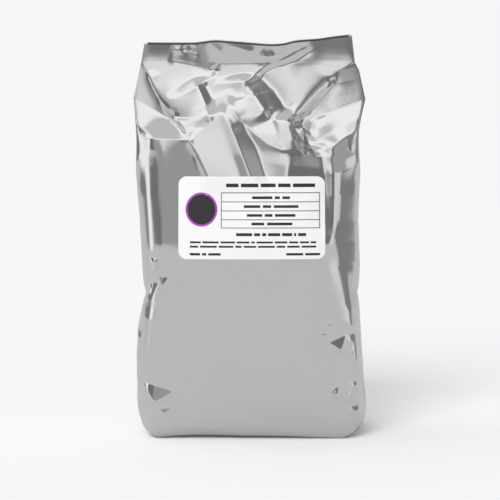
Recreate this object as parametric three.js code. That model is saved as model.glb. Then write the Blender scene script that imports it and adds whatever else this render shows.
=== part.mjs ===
// Filled and heat sealed side gusset bag of metallised film, with a paper label.
// Millimetres, +Z up, labelled face towards -Y.
import * as THREE from 'three';

// Heights of the bag.
const SEAL_FOOT = 248.5;
const SEAL_HEAD = 261.5;
// Where the faces begin to act as one sheet, and over what height.
const JOIN_START = 240.5;
const JOIN_HEIGHT = 7;
// Columns round the bag and rows up it.
const FRONT_COLUMNS = 40;
const BACK_COLUMNS = 28;
const SIDE_STEPS = 3;
const ROW_HEIGHTS = [
  0, 1.5, 4, 8, 13, 19, 25, 31, 37, 43, 50, 57, 64, 71, 78, 84, 90, 95, 99, 103, 108, 114,
  120, 126, 132, 138, 144, 150, 156, 162, 168, 173, 178, 183, 187, 191, 195, 199, 202.5,
  206, 209.5, 213, 217, 221, 225, 229, 233, 237, 241, 244, 246.5, 248.5, 250, 252, 255, 258, 261.5,
];
// Label: edges, corner radius, thickness and the gap that the glue fills.
const LABEL_LEFT = -46.5;
const LABEL_RIGHT = 49;
const LABEL_FOOT = 119.5;
const LABEL_HEAD = 173;
const LABEL_CORNER = 5.3;
const LABEL_THICKNESS = 0.35;
const LABEL_GAP = 0.6;
// Share of its path over which a fold rises at its start and dies away at its end.
const FOLD_END = 0.22;
// Share of each fold that still shows under the label, how far in from the label's rim that
// share is reached, and the width of the folds that the label bridges.
const FOLD_UNDER_LABEL = 0.2;
const LABEL_MARGIN = 16;
const LABEL_BRIDGE = 2;
// Base: how far in from the edge it meets the ground, and its half width and half depth.
const BASE_INSET = 12;
const BASE_RIM = 5;
const BASE_HALF_WIDTH = 66;
const BASE_HALF_DEPTH = 34;
// Where the folds of the sides die away, and over what height.
const SIDE_FADE_START = 195;
const SIDE_FADE_HEIGHT = 25;

// Long edges of the bag, as level, x, y, z from the base to the head of the seal.
const FRONT_LEFT = [
  [0, -62, -31, 0], [4, -65.5, -34.5, 4], [10, -67.5, -36, 10], [20, -68, -36.5, 20],
  [50, -69, -36.5, 50], [80, -67, -36, 80], [96, -64.8, -35, 96], [108, -66, -35, 108],
  [125, -66.5, -33.5, 125], [160, -66, -30, 160], [189, -63.5, -27, 190],
  [197, -63.5, -24.5, 198], [211, -52.5, -12, 210], [248.5, -72.4, -1, 248.5],
  [252, -71.7, -0.7, 252], [261.5, -70, -0.6, 261.5],
];
const EAR_LEFT = [
  [0, -65.5, -17, 0], [4, -69.5, -18, 4], [8, -72, -18.5, 8], [15, -73.4, -19, 15],
  [28, -74.7, -19, 28], [42, -76, -19, 42], [56, -76, -19, 56], [70, -74.4, -18, 70],
  [83, -72.9, -18, 83], [90, -71.9, -18, 90], [96, -71.4, -18, 96], [103, -72, -18, 103],
  [116, -72.3, -18, 116], [137, -73.5, -18, 137], [163, -74.7, -18, 163],
  [189, -75.6, -17, 195], [197, -76.2, -15.5, 207], [211, -77.8, -7, 225],
  [248.5, -72.7, -0.5, 248.5], [252, -72, -0.35, 252], [261.5, -70.3, -0.3, 261.5],
];
const FOLD_LEFT = [
  [0, -66, 0, 0], [4, -69.5, 0, 4], [10, -71.5, 0, 10], [20, -73, 0, 20],
  [50, -75.2, 0, 50], [80, -72.6, 0, 80], [96, -70.6, 0, 96], [108, -71.2, 0, 108],
  [125, -71.8, 0, 125], [160, -73.4, 0, 160], [189, -73.6, 0, 192], [197, -72.6, 0, 204],
  [211, -69, 0, 220], [230, -56, 0, 235], [248.5, -38, 0, 248.5], [252, -72.1, 0, 252],
  [261.5, -70.4, 0, 261.5],
];
const HIND_LEFT = [
  [0, -65.5, 17, 0], [4, -69.3, 18, 4], [10, -72, 18.5, 10], [20, -73.4, 19, 20],
  [42, -75.2, 19, 42], [56, -75, 19, 56], [80, -73, 18, 80], [96, -71.4, 18, 96],
  [116, -72, 18, 116], [163, -74.4, 16, 163], [189, -75.4, 14, 195], [197, -76, 11, 206],
  [211, -77.2, 3, 223], [248.5, -72.7, 0.5, 248.5], [252, -72, 0.35, 252],
  [261.5, -70.3, 0.3, 261.5],
];
const BACK_LEFT = [
  [0, -62, 31, 0], [4, -65.5, 34.5, 4], [10, -67.5, 36, 10], [20, -68, 36.5, 20],
  [50, -69, 36.5, 50], [80, -67.4, 36, 80], [96, -66.2, 35, 96], [125, -66.8, 33.5, 125],
  [160, -66.6, 30, 160], [189, -66, 27, 190], [197, -64.8, 24.5, 198], [211, -58, 12, 211],
  [248.5, -72.4, 1, 248.5], [252, -71.7, 0.7, 252], [261.5, -70, 0.6, 261.5],
];
const FRONT_RIGHT = [
  [0, 64, -31, 0], [4, 68, -34.5, 4], [10, 70.5, -36, 10], [20, 71, -36.5, 20],
  [50, 70, -36.5, 50], [76, 68, -36.5, 76], [96, 63, -36.5, 96], [115, 58.5, -36, 115],
  [130, 57, -35, 130], [160, 57, -32, 160], [176, 56.5, -29.5, 175], [184, 55, -27.5, 181],
  [191, 53.5, -26.7, 185], [197, 50.5, -25.5, 189.5], [204, 43, -18.8, 198],
  [211, 33, -8, 208.8], [221, 45, -6, 220.5], [234, 56.5, -4, 234], [243, 59.5, -2.4, 243],
  [248.5, 69.9, -1, 248.4], [252, 69.3, -0.7, 252], [261.5, 67.7, -0.6, 261.4],
];
const EAR_RIGHT = [
  [0, 67.5, -17, 0], [4, 72, -18, 4], [8, 75, -18.5, 8], [15, 76.6, -19, 15],
  [28, 76.4, -19, 28], [42, 76.2, -19, 42], [56, 75.4, -19, 56], [64, 74.4, -18, 64],
  [70, 73.4, -18, 70], [83, 74, -18, 83], [103, 73.9, -18, 103], [116, 74.2, -18, 116],
  [143, 73, -18, 143], [184, 72.8, -17, 188], [191, 72.8, -16, 196], [197, 73, -14.5, 204],
  [204, 74.6, -11, 212], [211, 77.4, -5, 223.7], [243, 73, -1.6, 243],
  [248.5, 70.2, -0.5, 248.4], [252, 69.6, -0.35, 252], [261.5, 68, -0.3, 261.4],
];
const FOLD_RIGHT = [
  [0, 68, 0, 0], [4, 71.5, 0, 4], [10, 74.6, 0, 10], [20, 75.2, 0, 20], [50, 74.6, 0, 50],
  [70, 72, 0, 70], [103, 72.6, 0, 103], [125, 72.2, 0, 125], [160, 71.2, 0, 160],
  [189, 70.4, 0, 192], [197, 69.6, 0, 201], [204, 68.8, 0, 209], [211, 68, 0, 219],
  [230, 56, 0, 235], [248.5, 38, 0, 248.4], [252, 69.7, 0, 252], [261.5, 68.1, 0, 261.4],
];
const HIND_RIGHT = [
  [0, 67.5, 17, 0], [4, 71.8, 18, 4], [10, 75, 18.5, 10], [20, 76, 19, 20],
  [50, 75.2, 19, 50], [70, 73, 18, 70], [103, 73.6, 18, 103], [125, 73, 17, 125],
  [160, 72.4, 16, 160], [189, 72.8, 14, 193], [197, 73.6, 11, 203], [204, 75, 7, 212],
  [211, 76.8, 3, 223], [248.5, 70.2, 0.5, 248.4], [252, 69.6, 0.35, 252],
  [261.5, 68, 0.3, 261.4],
];
const BACK_RIGHT = [
  [0, 64, 31, 0], [4, 68, 34.5, 4], [10, 70.5, 36, 10], [20, 71, 36.5, 20],
  [50, 70, 36.5, 50], [80, 68, 36, 80], [96, 68.5, 35, 96], [125, 68.6, 33.5, 125],
  [160, 68, 30, 160], [189, 66, 27, 190], [197, 63.4, 24, 197], [211, 53, 12, 210],
  [248.5, 69.9, 1, 248.4], [252, 69.3, 0.7, 252], [261.5, 67.7, 0.6, 261.4],
];
const EDGES = [
  FRONT_LEFT, FRONT_RIGHT, EAR_RIGHT, FOLD_RIGHT, HIND_RIGHT, BACK_RIGHT, BACK_LEFT,
  HIND_LEFT, FOLD_LEFT, EAR_LEFT,
];
// Rounding of those edges, as level and radius.
const ROUND_FRONT = [
  [0, 4], [10, 9], [50, 13], [80, 10], [96, 6], [108, 10], [160, 10], [184, 6], [197, 2],
  [211, 0.8], [248.5, 0.3], [252, 0.1], [261.5, 0.1],
];
const ROUND_FRONT_RIGHT = [
  [0, 4], [10, 9], [50, 12], [80, 9], [110, 6.5], [184, 5], [197, 2], [211, 0.8],
  [248.5, 0.3], [252, 0.1], [261.5, 0.1],
];
const ROUND_EAR = [
  [0, 6], [10, 8], [160, 8], [189, 5], [197, 3], [211, 1], [248.5, 0.2], [252, 0.1],
  [261.5, 0.1],
];
const ROUND_FOLD = [
  [0, 5], [20, 4], [60, 3], [160, 2.5], [211, 1.5], [248.5, 0.3], [252, 0.1], [261.5, 0.1],
];
const ROUND_BACK = [
  [0, 4], [10, 9], [60, 13], [160, 11], [189, 6], [211, 2], [248.5, 0.3], [252, 0.1],
  [261.5, 0.1],
];
const ROUNDS = [
  ROUND_FRONT, ROUND_FRONT_RIGHT, ROUND_EAR, ROUND_FOLD, ROUND_EAR, ROUND_BACK, ROUND_BACK,
  ROUND_EAR, ROUND_FOLD, ROUND_EAR,
];
// Depth of the front and back faces by height, at the middle and near the long edges.
const MIDDLE_DEPTH = [
  [0, 34], [4, 38], [12, 41], [40, 43.5], [75, 44.2], [105, 44], [125, 42.6], [150, 38.8],
  [175, 33.6], [190, 29.6], [203, 24.4], [215, 18], [226, 11.6], [236, 6], [242, 2.95],
  [245.5, 1.62], [248.5, 1.15],
];
const EDGE_DEPTH = [
  [0, 31], [4, 34.5], [12, 36], [50, 36.5], [96, 35], [125, 33.5], [160, 29], [189, 25],
  [203, 20.5], [215, 15.2], [226, 10], [236, 5.6], [243, 2.8], [248.5, 1.3],
];
const HALF_WIDTH = 68;
const CROWN_POWER = 2.8;
// How far in from a long edge its own dent dies away.
const DENT_REACH = 5;
// Top edge of the seal, its foot, and its wave from front to back, all by x.
const SEAL_EDGE = [
  [-70, 261], [-36, 261], [-30, 261.8], [-23, 262.4], [-13, 261.7], [-3, 261], [5, 260.3],
  [15, 259.8], [23, 260.4], [30, 262.2], [39, 263.1], [47, 263.8], [55, 265], [68, 266.5],
];
const SEAL_FOOT_DROP = [[-72, 0], [-40, 0], [-24, 1], [0, 1], [16, 0.6], [30, 0], [70, 0]];
const SEAL_WAVE = [
  [-72, 0], [-48, 0.4], [-32, -0.2], [-18, -1.6], [0, -2.2], [20, -1.8], [36, -0.2],
  [50, 0.4], [70, 0],
];
const WAVE_FOOT = 220;
// How far the head of the seal leans back.
const SEAL_LEAN = [
  [-72, 0.9], [-60, 1.1], [-38, 1.2], [-30, 0.8], [-22, 0], [24, 0], [34, 0.7], [44, 1.4],
  [70, 1.4],
];
// Arch of the bottom edges over the ground, by x.
const FRONT_ARCH = [[-66, 0], [-50, 2.2], [-33, 3.6], [-5, 2.6], [20, 2.2], [45, 1], [66, 0]];
const BACK_ARCH = [[-66, 0], [-40, 1.4], [0, 2.6], [40, 1.6], [66, 0]];
const ARCH_TOP = 14;

// A fold: its height, its widths to the left and right of a path that runs down, and how
// round its crest is.
const crease = (rise, left, right, crest, ...path) => ({
  rise, left, right, crest, path,
});
// A pressed-in place with flat facets: its depth, its deepest point and its outline, as x and z.
const dent = (depth, pit, ...corners) => ({ depth, pit, corners });

// Folds and dents of the front, as paths of x and z.
const FRONT_CREASES = [
  // The big pinch under the middle of the seal, and the hollow beside it.
  crease(3, 12, 8, 0.8, [-6, 243], [-5, 234.5], [1.5, 227.5], [8, 217.5], [12, 208.5]),
  crease(-3.2, 8, 8, 1, [5, 243], [9, 238], [17, 229.5], [23, 219.5], [31.5, 211.5]),
  crease(
    1.8, 4.5, 10, 0.7,
    [-13.5, 232], [-14, 222], [-7, 211], [3, 201], [11, 194.5], [21, 190.5], [32, 190],
    [36, 194],
  ),
  crease(1.8, 6, 4, 0.8, [14, 208.5], [23.5, 211.5], [32, 210.5]),
  crease(-2.8, 1.6, 7, 0.5, [34, 210], [36, 202], [38, 195], [38, 190]),
  crease(-1.6, 5, 3, 0.6, [57.5, 240], [47, 226], [35.5, 212]),
  // Crumple in the middle of the seal.
  crease(0.4, 2, 3, 0.3, [-28, 263], [-25.5, 259], [-20.5, 255.5], [-19, 251]),
  crease(-0.4, 3, 1.2, 0.3, [8, 248.5], [18, 250.5], [33, 256], [40, 260]),
  crease(-0.3, 4.5, 1.2, 0.3, [-22, 248], [-14.5, 248.3], [-3.5, 248.3], [6, 248.5]),
  crease(0.3, 1.5, 3, 0.3, [-26, 245], [-10, 244.6], [8, 245.2]),
  crease(-0.6, 2.5, 3, 0.4, [-56.5, 249], [-40, 246], [-24.5, 242.5]),
  crease(0.4, 2, 2, 0.4, [40, 259.5], [26.5, 252], [16.5, 247.5], [8, 244]),
  crease(-0.5, 2, 2, 0.4, [45, 257], [32, 250], [20, 245], [10, 242]),
  crease(0.45, 3, 3, 0.8, [-54, 258.5], [-44, 255.5], [-33, 253]),
  crease(-0.4, 2.5, 2.5, 0.6, [-46, 259], [-41, 254.5], [-36, 259.5]),
  crease(0.5, 3, 3, 0.8, [-18, 260], [-8, 258], [0, 256], [-12, 254.5]),
  crease(0.5, 2.5, 2.5, 0.6, [6, 254.5], [12, 252.5], [17, 254]),
  crease(-1.6, 1.6, 1.6, 0.4, [-25.5, 246], [-22, 241.5]),
  // Slanting folds above the label.
  crease(
    3, 16, 6, 0.7,
    [-24, 226], [-18, 214.5], [-12, 204], [-5, 187], [1, 172.5], [4, 155], [6.5, 133],
    [7.5, 113],
  ),
  crease(-2, 6.5, 12, 1.2, [-14, 221], [-4, 207], [4, 192], [9, 174], [12, 157], [13, 138]),
  crease(-0.7, 14, 5, 1.6, [-22, 215], [-15, 195], [-9, 180], [-4, 162], [-1, 140]),
  crease(2.8, 14, 5, 0.9, [-38.5, 238], [-33, 227.5], [-28.5, 217], [-25, 206]),
  crease(-1.4, 4, 6, 1.2, [-31, 236], [-26, 227], [-21.5, 217.5]),
  crease(
    3.4, 4.5, 24, 0.6,
    [-47, 206], [-39.5, 196.5], [-34, 187], [-28, 174], [-22, 158], [-18, 145],
  ),
  crease(0.9, 8, 10, 0.8, [-61, 214], [-58, 190], [-56.5, 164], [-56.5, 131.5], [-58, 113.5]),
  crease(2, 2, 6, 0.5, [-69, 245], [-64, 232.5], [-57.5, 220], [-52, 211]),
  crease(1.4, 11, 2, 0.4, [-76, 197.6], [-60, 197.4], [-48, 196.9], [-36, 196]),
  // Right of the label.
  crease(
    -1.8, 3, 2.6, 0.6,
    [77, 221], [71.5, 212.5], [66, 201], [64, 195.5], [64.5, 190], [67, 184],
  ),
  crease(0.9, 3, 2.5, 0.5, [77, 223.5], [62, 219], [50, 214]),
  crease(1, 1.8, 1.8, 0.5, [49.5, 213.5], [46, 209.5], [42, 205]),
  crease(1.2, 6, 5, 1.2, [56, 205], [54.5, 190], [54.5, 164], [54.5, 138], [53, 117]),
  crease(-2.6, 14, 7, 3, [47, 196], [46, 188], [48.5, 172], [50, 148], [50, 128.5]),
  crease(1.6, 8, 12, 2, [27, 190], [24.5, 173], [22, 154], [21, 132]),
  // Fine lines low on both sides.
  crease(0.8, 2, 2.4, 0.5, [-72, 37], [-66, 25], [-64, 13]),
  crease(0.8, 1.6, 1.6, 0.4, [67, 69], [65, 61.5], [64.5, 55]),
  crease(1, 2.4, 2.4, 0.5, [67.5, 92], [65.5, 80], [67.5, 71]),
  crease(1.3, 1.6, 5, 0.5, [53, 32], [57, 29], [62.5, 27.5], [67, 28]),
  crease(0.8, 2.5, 2.5, 0.5, [70, 38], [67, 32.5], [65, 27]),
  crease(-1.3, 3, 3, 0.7, [74, 33], [71, 26], [68, 19]),
  crease(0.9, 1.4, 1.4, 0.4, [-68, 9], [-63, 6.5], [-60, 3.5]),
  crease(0.8, 1.4, 1.8, 0.4, [-70, 12.5], [-66.5, 13], [-63.5, 15]),
];
// The deep pinch points of the front's upper corners.
const FRONT_PITS = [
  dent(7.3, [-52.5, 209.8], [-51, 212.5], [-39, 196.8], [-76, 198.8]),
  dent(12.9, [33, 208.6], [36, 214], [25, 210.5], [33, 197], [42, 186], [54, 186]),
];
const FRONT_DENTS = [
  // Low on the left.
  dent(-2.5, [-62.5, 24.5], [-72.5, 39], [-49, 33], [-48, 31], [-62.5, 22.5], [-66, 27]),
  dent(-1.3, [-57, 16.5], [-61.5, 21], [-47, 22.5], [-56.5, 15]),
  dent(-0.3, [-48, 35.2], [-50.5, 37], [-46, 37], [-48, 34.5]),
  // Low on the right.
  dent(-0.5, [52, 73.5], [48, 77], [55, 77.5], [52, 72.5]),
  dent(-0.5, [49, 68], [44, 71], [51.5, 71.5], [50, 67], [47, 67.5]),
  dent(-1.8, [59.5, 58.5], [50.5, 64.5], [64, 70], [62, 58], [58.5, 57]),
  dent(-3.4, [70, 49.5], [66, 57], [68.5, 71], [73, 70], [73, 50], [70, 46]),
  dent(-0.25, [53, 50.5], [50.5, 51.5], [55, 52.5], [54, 49.5], [51.5, 49]),
  // The crumpled corner on the left.
  dent(-0.9, [-62.5, 8], [-67, 11.5], [-63, 12], [-58, 7.5], [-59.5, 6], [-66, 8.5]),
  // Waist of the left edge.
  dent(
    2.6, [-63.5, 103.5],
    [-68, 104.5], [-65.5, 109], [-62.5, 110.5], [-60, 108.5], [-59, 103.5], [-65.5, 92],
  ),
  dent(1.2, [-57, 107], [-60.5, 111], [-55.5, 111], [-53.5, 108], [-57.5, 102]),
  dent(0.8, [-63.5, 120], [-66, 121], [-62, 123], [-58.5, 119], [-63, 116.5]),
  // Right shoulder.
  dent(1.0, [39.5, 202], [34.5, 207.5], [41.5, 202], [44, 197.5], [39, 199], [35, 204]),
  dent(-0.5, [37, 188.5], [35, 188], [37, 190], [39.5, 188.5], [37.5, 187]),
];
// Folds of the back, as paths of x and z, and of the sides, as paths of y and z.
const BACK_CREASES = [
  crease(2.2, 12, 6, 1.4, [30, 245], [24, 222], [6, 202], [-8, 188]),
  crease(-2.4, 6, 8, 1.6, [22, 243], [12, 224], [2, 212]),
  crease(1.8, 4, 11, 0.8, [-58, 211], [-46, 194], [-38, 170]),
  crease(1.7, 10, 4, 0.8, [54, 210], [44, 194], [40, 166]),
  crease(1.3, 8, 5, 1.2, [-26, 220], [-16, 194], [-14, 158]),
  crease(-1.4, 4, 4, 0.8, [-60, 92], [-50, 98], [-36, 96]),
  crease(-1.4, 4, 4, 0.8, [62, 70], [52, 62], [46, 66]),
  crease(1.2, 4, 3, 0.6, [64, 34], [54, 28], [44, 31]),
  crease(-1.5, 4, 4, 0.8, [-66, 30], [-54, 22], [-46, 25]),
];
const SIDE_CREASES = [
  crease(1.5, 7, 5, 0.8, [-34, 3], [-18, 20], [0, 39]),
  crease(1.5, 5, 7, 0.8, [34, 3], [18, 20], [0, 39]),
  crease(-1.2, 7, 7, 1.2, [0, 40], [1, 90], [0, 150], [0, 205]),
  crease(1.3, 6, 6, 1, [-26, 194], [-12, 174], [-2, 148]),
  crease(1.3, 6, 6, 1, [24, 196], [12, 170], [3, 144]),
  crease(-1.6, 5, 5, 0.8, [-30, 102], [-16, 96], [-2, 90]),
  crease(-1.4, 5, 5, 0.8, [28, 110], [14, 102], [2, 92]),
  crease(1.1, 5, 5, 1, [-30, 62], [-16, 70], [-3, 82]),
];
// The lap of the back seam: middle, half width, height and softness of its steps.
const LAP = { middle: 3, half: 5, height: 0.7, step: 0.8 };

const mix = (a, b, t) => a + (b - a) * t;
const ease = (t) => {
  const c = Math.min(1, Math.max(0, t));
  return c * c * (3 - 2 * c);
};

// Straight reading of a table of rows.
function read(rows, at) {
  if (at <= rows[0][0]) {
    return rows[0].slice(1);
  }
  for (let i = 1; i < rows.length; i += 1) {
    if (at <= rows[i][0]) {
      const t = (at - rows[i - 1][0]) / (rows[i][0] - rows[i - 1][0]);
      return rows[i].slice(1).map((value, k) => mix(rows[i - 1][k + 1], value, t));
    }
  }
  return rows[rows.length - 1].slice(1);
}

// Smooth reading of a table of pairs.
function flow(rows, at) {
  const last = rows.length - 1;
  if (at <= rows[0][0]) {
    return rows[0][1];
  }
  if (at >= rows[last][0]) {
    return rows[last][1];
  }
  let i = 1;
  while (at > rows[i][0]) {
    i += 1;
  }
  const slope = (k) => {
    const a = Math.max(0, k - 1);
    const b = Math.min(last, k + 1);
    return (rows[b][1] - rows[a][1]) / (rows[b][0] - rows[a][0]);
  };
  const span = rows[i][0] - rows[i - 1][0];
  const t = (at - rows[i - 1][0]) / span;
  const t2 = t * t;
  const t3 = t2 * t;
  return (2 * t3 - 3 * t2 + 1) * rows[i - 1][1] + (t3 - 2 * t2 + t) * span * slope(i - 1)
    + (3 * t2 - 2 * t3) * rows[i][1] + (t3 - t2) * span * slope(i);
}

// Height of one fold at a place: highest on its path, dying away to either side and at its ends.
function foldHeight(fold, a, b) {
  let best = Infinity;
  let side = 1;
  let along = 0;
  const last = fold.path.length - 2;
  for (let i = 0; i <= last; i += 1) {
    const [ax, ay] = fold.path[i];
    const [bx, by] = fold.path[i + 1];
    const dx = bx - ax;
    const dy = by - ay;
    const t = Math.min(1, Math.max(0, ((a - ax) * dx + (b - ay) * dy) / (dx * dx + dy * dy)));
    const d = Math.hypot(a - ax - t * dx, b - ay - t * dy);
    if (d < best) {
      best = d;
      side = dx * (b - ay) - dy * (a - ax);
      along = (i + t) / (last + 1);
    }
  }
  const width = side > 0 ? fold.right : fold.left;
  const end = ease(Math.min(along, 1 - along) / FOLD_END);
  const far = Math.sqrt(best * best + fold.crest * fold.crest) - fold.crest;
  return fold.rise * end * Math.exp(-far / width);
}

const foldSum = (folds, a, b) => folds.reduce((sum, fold) => sum + foldHeight(fold, a, b), 0);

// Height of one dent: straight facets from its outline down to its deepest point.
function dentHeight(dented, a, b) {
  const [pitX, pitZ] = dented.pit;
  let out = -Infinity;
  dented.corners.forEach(([ax, az], n) => {
    const [bx, bz] = dented.corners[(n + 1) % dented.corners.length];
    const nx = bz - az;
    const nz = ax - bx;
    const part = nx * (a - pitX) + nz * (b - pitZ);
    out = Math.max(out, part / (nx * (ax - pitX) + nz * (az - pitZ)));
  });
  return -dented.depth * Math.max(0, 1 - out);
}

const dentSum = (dents, a, b) => dents.reduce((sum, one) => sum + dentHeight(one, a, b), 0);

// Nothing outside the label's outline, rising to one at a margin inside it.
function labelMask(x, z) {
  const inside = Math.min(x - LABEL_LEFT, LABEL_RIGHT - x, z - LABEL_FOOT, LABEL_HEAD - z);
  return ease(inside / LABEL_MARGIN);
}

function frontFolds(x, z) {
  const folds = foldSum(FRONT_CREASES, x, z) * mix(1, FOLD_UNDER_LABEL, labelMask(x, z));
  return folds + dentSum(FRONT_DENTS, x, z);
}

function faceDepth(x, z) {
  const middle = flow(MIDDLE_DEPTH, z);
  const edge = flow(EDGE_DEPTH, z);
  const across = Math.min(1, Math.abs(x) / HALF_WIDTH);
  return mix(edge, middle, 1 - across ** CROWN_POWER);
}

const frontDepth = (x, z) => faceDepth(x, z) + dentSum(FRONT_PITS, x, z);

function edgeAt(k, level) {
  return new THREE.Vector3(...read(EDGES[k], level));
}

// A point of the front or back face between its two long edges.
function facePoint(from, to, t, sign) {
  const x = mix(from.x, to.x, t);
  const z = mix(from.z, to.z, t);
  const depth = sign < 0 ? frontDepth : faceDepth;
  const fromDent = from.y - sign * depth(from.x, from.z);
  const toDent = to.y - sign * depth(to.x, to.z);
  const y = sign * depth(x, z) + fromDent * Math.exp(-Math.abs(x - from.x) / DENT_REACH)
    + toDent * Math.exp(-Math.abs(x - to.x) / DENT_REACH);
  return new THREE.Vector3(x, y, z);
}

// A point of the plain section at a level, before its edges are rounded.
function plainPoint(corners, k, t) {
  const from = corners[k];
  const to = corners[(k + 1) % corners.length];
  if (k === 0) {
    return facePoint(from, to, t, -1);
  }
  if (k === 5) {
    return facePoint(from, to, t, 1);
  }
  return from.clone().lerp(to, t);
}

// A point of the section with its edges rounded.
function sectionPoint(corners, level, k, t) {
  const count = corners.length;
  const next = (k + 1) % count;
  const reach = (n) => corners[n].distanceTo(corners[(n + 1) % count]);
  const length = reach(k);
  const near = t < 0.5 ? k : next;
  const before = (near + count - 1) % count;
  const radius = Math.min(
    read(ROUNDS[near], level)[0], 0.45 * reach(before), 0.45 * reach(near),
  );
  const away = t < 0.5 ? t * length : (1 - t) * length;
  if (away >= radius) {
    return plainPoint(corners, k, t);
  }
  const start = plainPoint(corners, before, 1 - radius / reach(before));
  const end = plainPoint(corners, near, radius / reach(near));
  const s = 0.5 + (t < 0.5 ? away : -away) / (2 * radius);
  return start.multiplyScalar((1 - s) * (1 - s))
    .addScaledVector(corners[near], 2 * s * (1 - s))
    .addScaledVector(end, s * s);
}

// How much of the front, back and side folds a column takes.
function shares(k, t) {
  const front = k === 0 ? 1 : k === 1 ? 1 - ease(t) : k === 9 ? ease(t) : 0;
  const back = k === 5 ? 1 : k === 4 ? ease(t) : k === 6 ? 1 - ease(t) : 0;
  return { front, back, side: 1 - front - back };
}

// How far the seal leans back at a level, from 0 at its foot to 1 at its head.
function leanHeight(level) {
  const up = (level - SEAL_FOOT) / (SEAL_HEAD - SEAL_FOOT);
  return up > 0 ? up * (1.5 - 0.5 * up) : 0;
}

// A point of the finished outside.
function bagPoint(level, k, t) {
  const corners = EDGES.map((edge, n) => edgeAt(n, level));
  const p = sectionPoint(corners, level, k, t);
  const share = shares(k, t);
  const sealed = ease((p.z - JOIN_START) / JOIN_HEIGHT);
  const right = p.x > 0 ? 1 : -1;
  const front = frontFolds(p.x, p.z);
  const below = 1 - sealed;
  p.y -= front * mix(share.front, 1, sealed);
  if (share.back > 0) {
    const lap = LAP.height * ease((LAP.half - Math.abs(p.x - LAP.middle)) / LAP.step + 0.5);
    p.y += share.back * below * (foldSum(BACK_CREASES, p.x, p.z) + lap * ease(level / 20));
  }
  if (share.side > 0) {
    const fade = 1 - ease((level - SIDE_FADE_START) / SIDE_FADE_HEIGHT);
    p.x += right * share.side * fade * foldSum(SIDE_CREASES, p.y, p.z);
  }
  const settled = ease((p.z - WAVE_FOOT) / (SEAL_FOOT - WAVE_FOOT));
  const wave = flow(SEAL_WAVE, p.x) * settled;
  const lean = flow(SEAL_LEAN, p.x) * leanHeight(level);
  const drop = flow(SEAL_FOOT_DROP, p.x) * settled;
  if (level > SEAL_FOOT) {
    const up = (level - SEAL_FOOT) / (SEAL_HEAD - SEAL_FOOT);
    p.z += mix(-drop, flow(SEAL_EDGE, p.x) - SEAL_HEAD, up);
  } else {
    p.z -= drop;
  }
  p.y += wave + lean;
  const arch = p.y < 0 ? FRONT_ARCH : BACK_ARCH;
  const lift = flow(arch, p.x) * ease(Math.abs(p.y) / 22 - 0.4);
  p.z += lift * (1 - ease(level / ARCH_TOP));
  return p;
}

function ring(level) {
  const points = [];
  EDGES.forEach((edge, k) => {
    const steps = k === 0 ? FRONT_COLUMNS : k === 5 ? BACK_COLUMNS : SIDE_STEPS;
    for (let i = 0; i < steps; i += 1) {
      points.push(bagPoint(level, k, i / steps));
    }
  });
  return points;
}

// A closed body from rings, with a flat base fan and a zipped top.
function bagGeometry() {
  const rings = ROW_HEIGHTS.map(ring);
  const foot = rings[0];
  const inset = [BASE_RIM, BASE_INSET].map((depth) => foot.map((p) => {
    const part = 1 - depth / BASE_INSET;
    return new THREE.Vector3(
      p.x * (1 - depth / BASE_HALF_WIDTH), p.y * (1 - depth / BASE_HALF_DEPTH), p.z * part * part,
    );
  }));
  const all = [inset[1], inset[0], ...rings];
  const count = foot.length;
  const positions = all.flat().flatMap((p) => [p.x, p.y, p.z]);
  const index = [];
  for (let r = 0; r + 1 < all.length; r += 1) {
    for (let i = 0; i < count; i += 1) {
      const j = (i + 1) % count;
      const a = r * count + i;
      const b = r * count + j;
      const c = b + count;
      const d = a + count;
      const p = (n) => new THREE.Vector3().fromArray(positions, 3 * n);
      if (p(a).distanceTo(p(c)) <= p(b).distanceTo(p(d))) {
        index.push(a, b, c, a, c, d);
      } else {
        index.push(a, b, d, b, c, d);
      }
    }
  }
  const hub = positions.length / 3;
  positions.push(0, 0, 0);
  for (let i = 0; i < count; i += 1) {
    index.push(hub, (i + 1) % count, i);
  }
  // The top closes between the front chain and the back chain, both from left to right.
  const top = (all.length - 1) * count;
  const turn = FRONT_COLUMNS + 4 * SIDE_STEPS;
  const middleRight = FRONT_COLUMNS + 2 * SIDE_STEPS;
  const middleLeft = turn + BACK_COLUMNS + 2 * SIDE_STEPS;
  const frontChain = [];
  for (let i = middleLeft; i <= count + middleRight; i += 1) {
    frontChain.push(top + (i % count));
  }
  const backChain = [];
  for (let i = middleLeft; i >= middleRight; i -= 1) {
    backChain.push(top + i);
  }
  let f = 0;
  let b = 0;
  while (f + 1 < frontChain.length || b + 1 < backChain.length) {
    const nextFront = f + 1 < frontChain.length ? positions[3 * frontChain[f + 1]] : Infinity;
    const nextBack = b + 1 < backChain.length ? positions[3 * backChain[b + 1]] : Infinity;
    const lastStep = f + 1 === frontChain.length - 1 && b + 1 < backChain.length - 1;
    if (nextFront <= nextBack && !lastStep) {
      if (frontChain[f + 1] !== backChain[b]) {
        index.push(frontChain[f], frontChain[f + 1], backChain[b]);
      }
      f += 1;
    } else {
      if (frontChain[f] !== backChain[b + 1]) {
        index.push(frontChain[f], backChain[b + 1], backChain[b]);
      }
      b += 1;
    }
  }
  return { positions, index };
}

// Where the label lies: it bridges the narrow folds of the film.
function labelDepth(x, z) {
  const reach = [-LABEL_BRIDGE, 0, LABEL_BRIDGE];
  const near = reach.flatMap((dx) => reach.map(
    (dz) => faceDepth(x + dx, z + dz) + frontFolds(x + dx, z + dz),
  ));
  return Math.max(...near);
}

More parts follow.
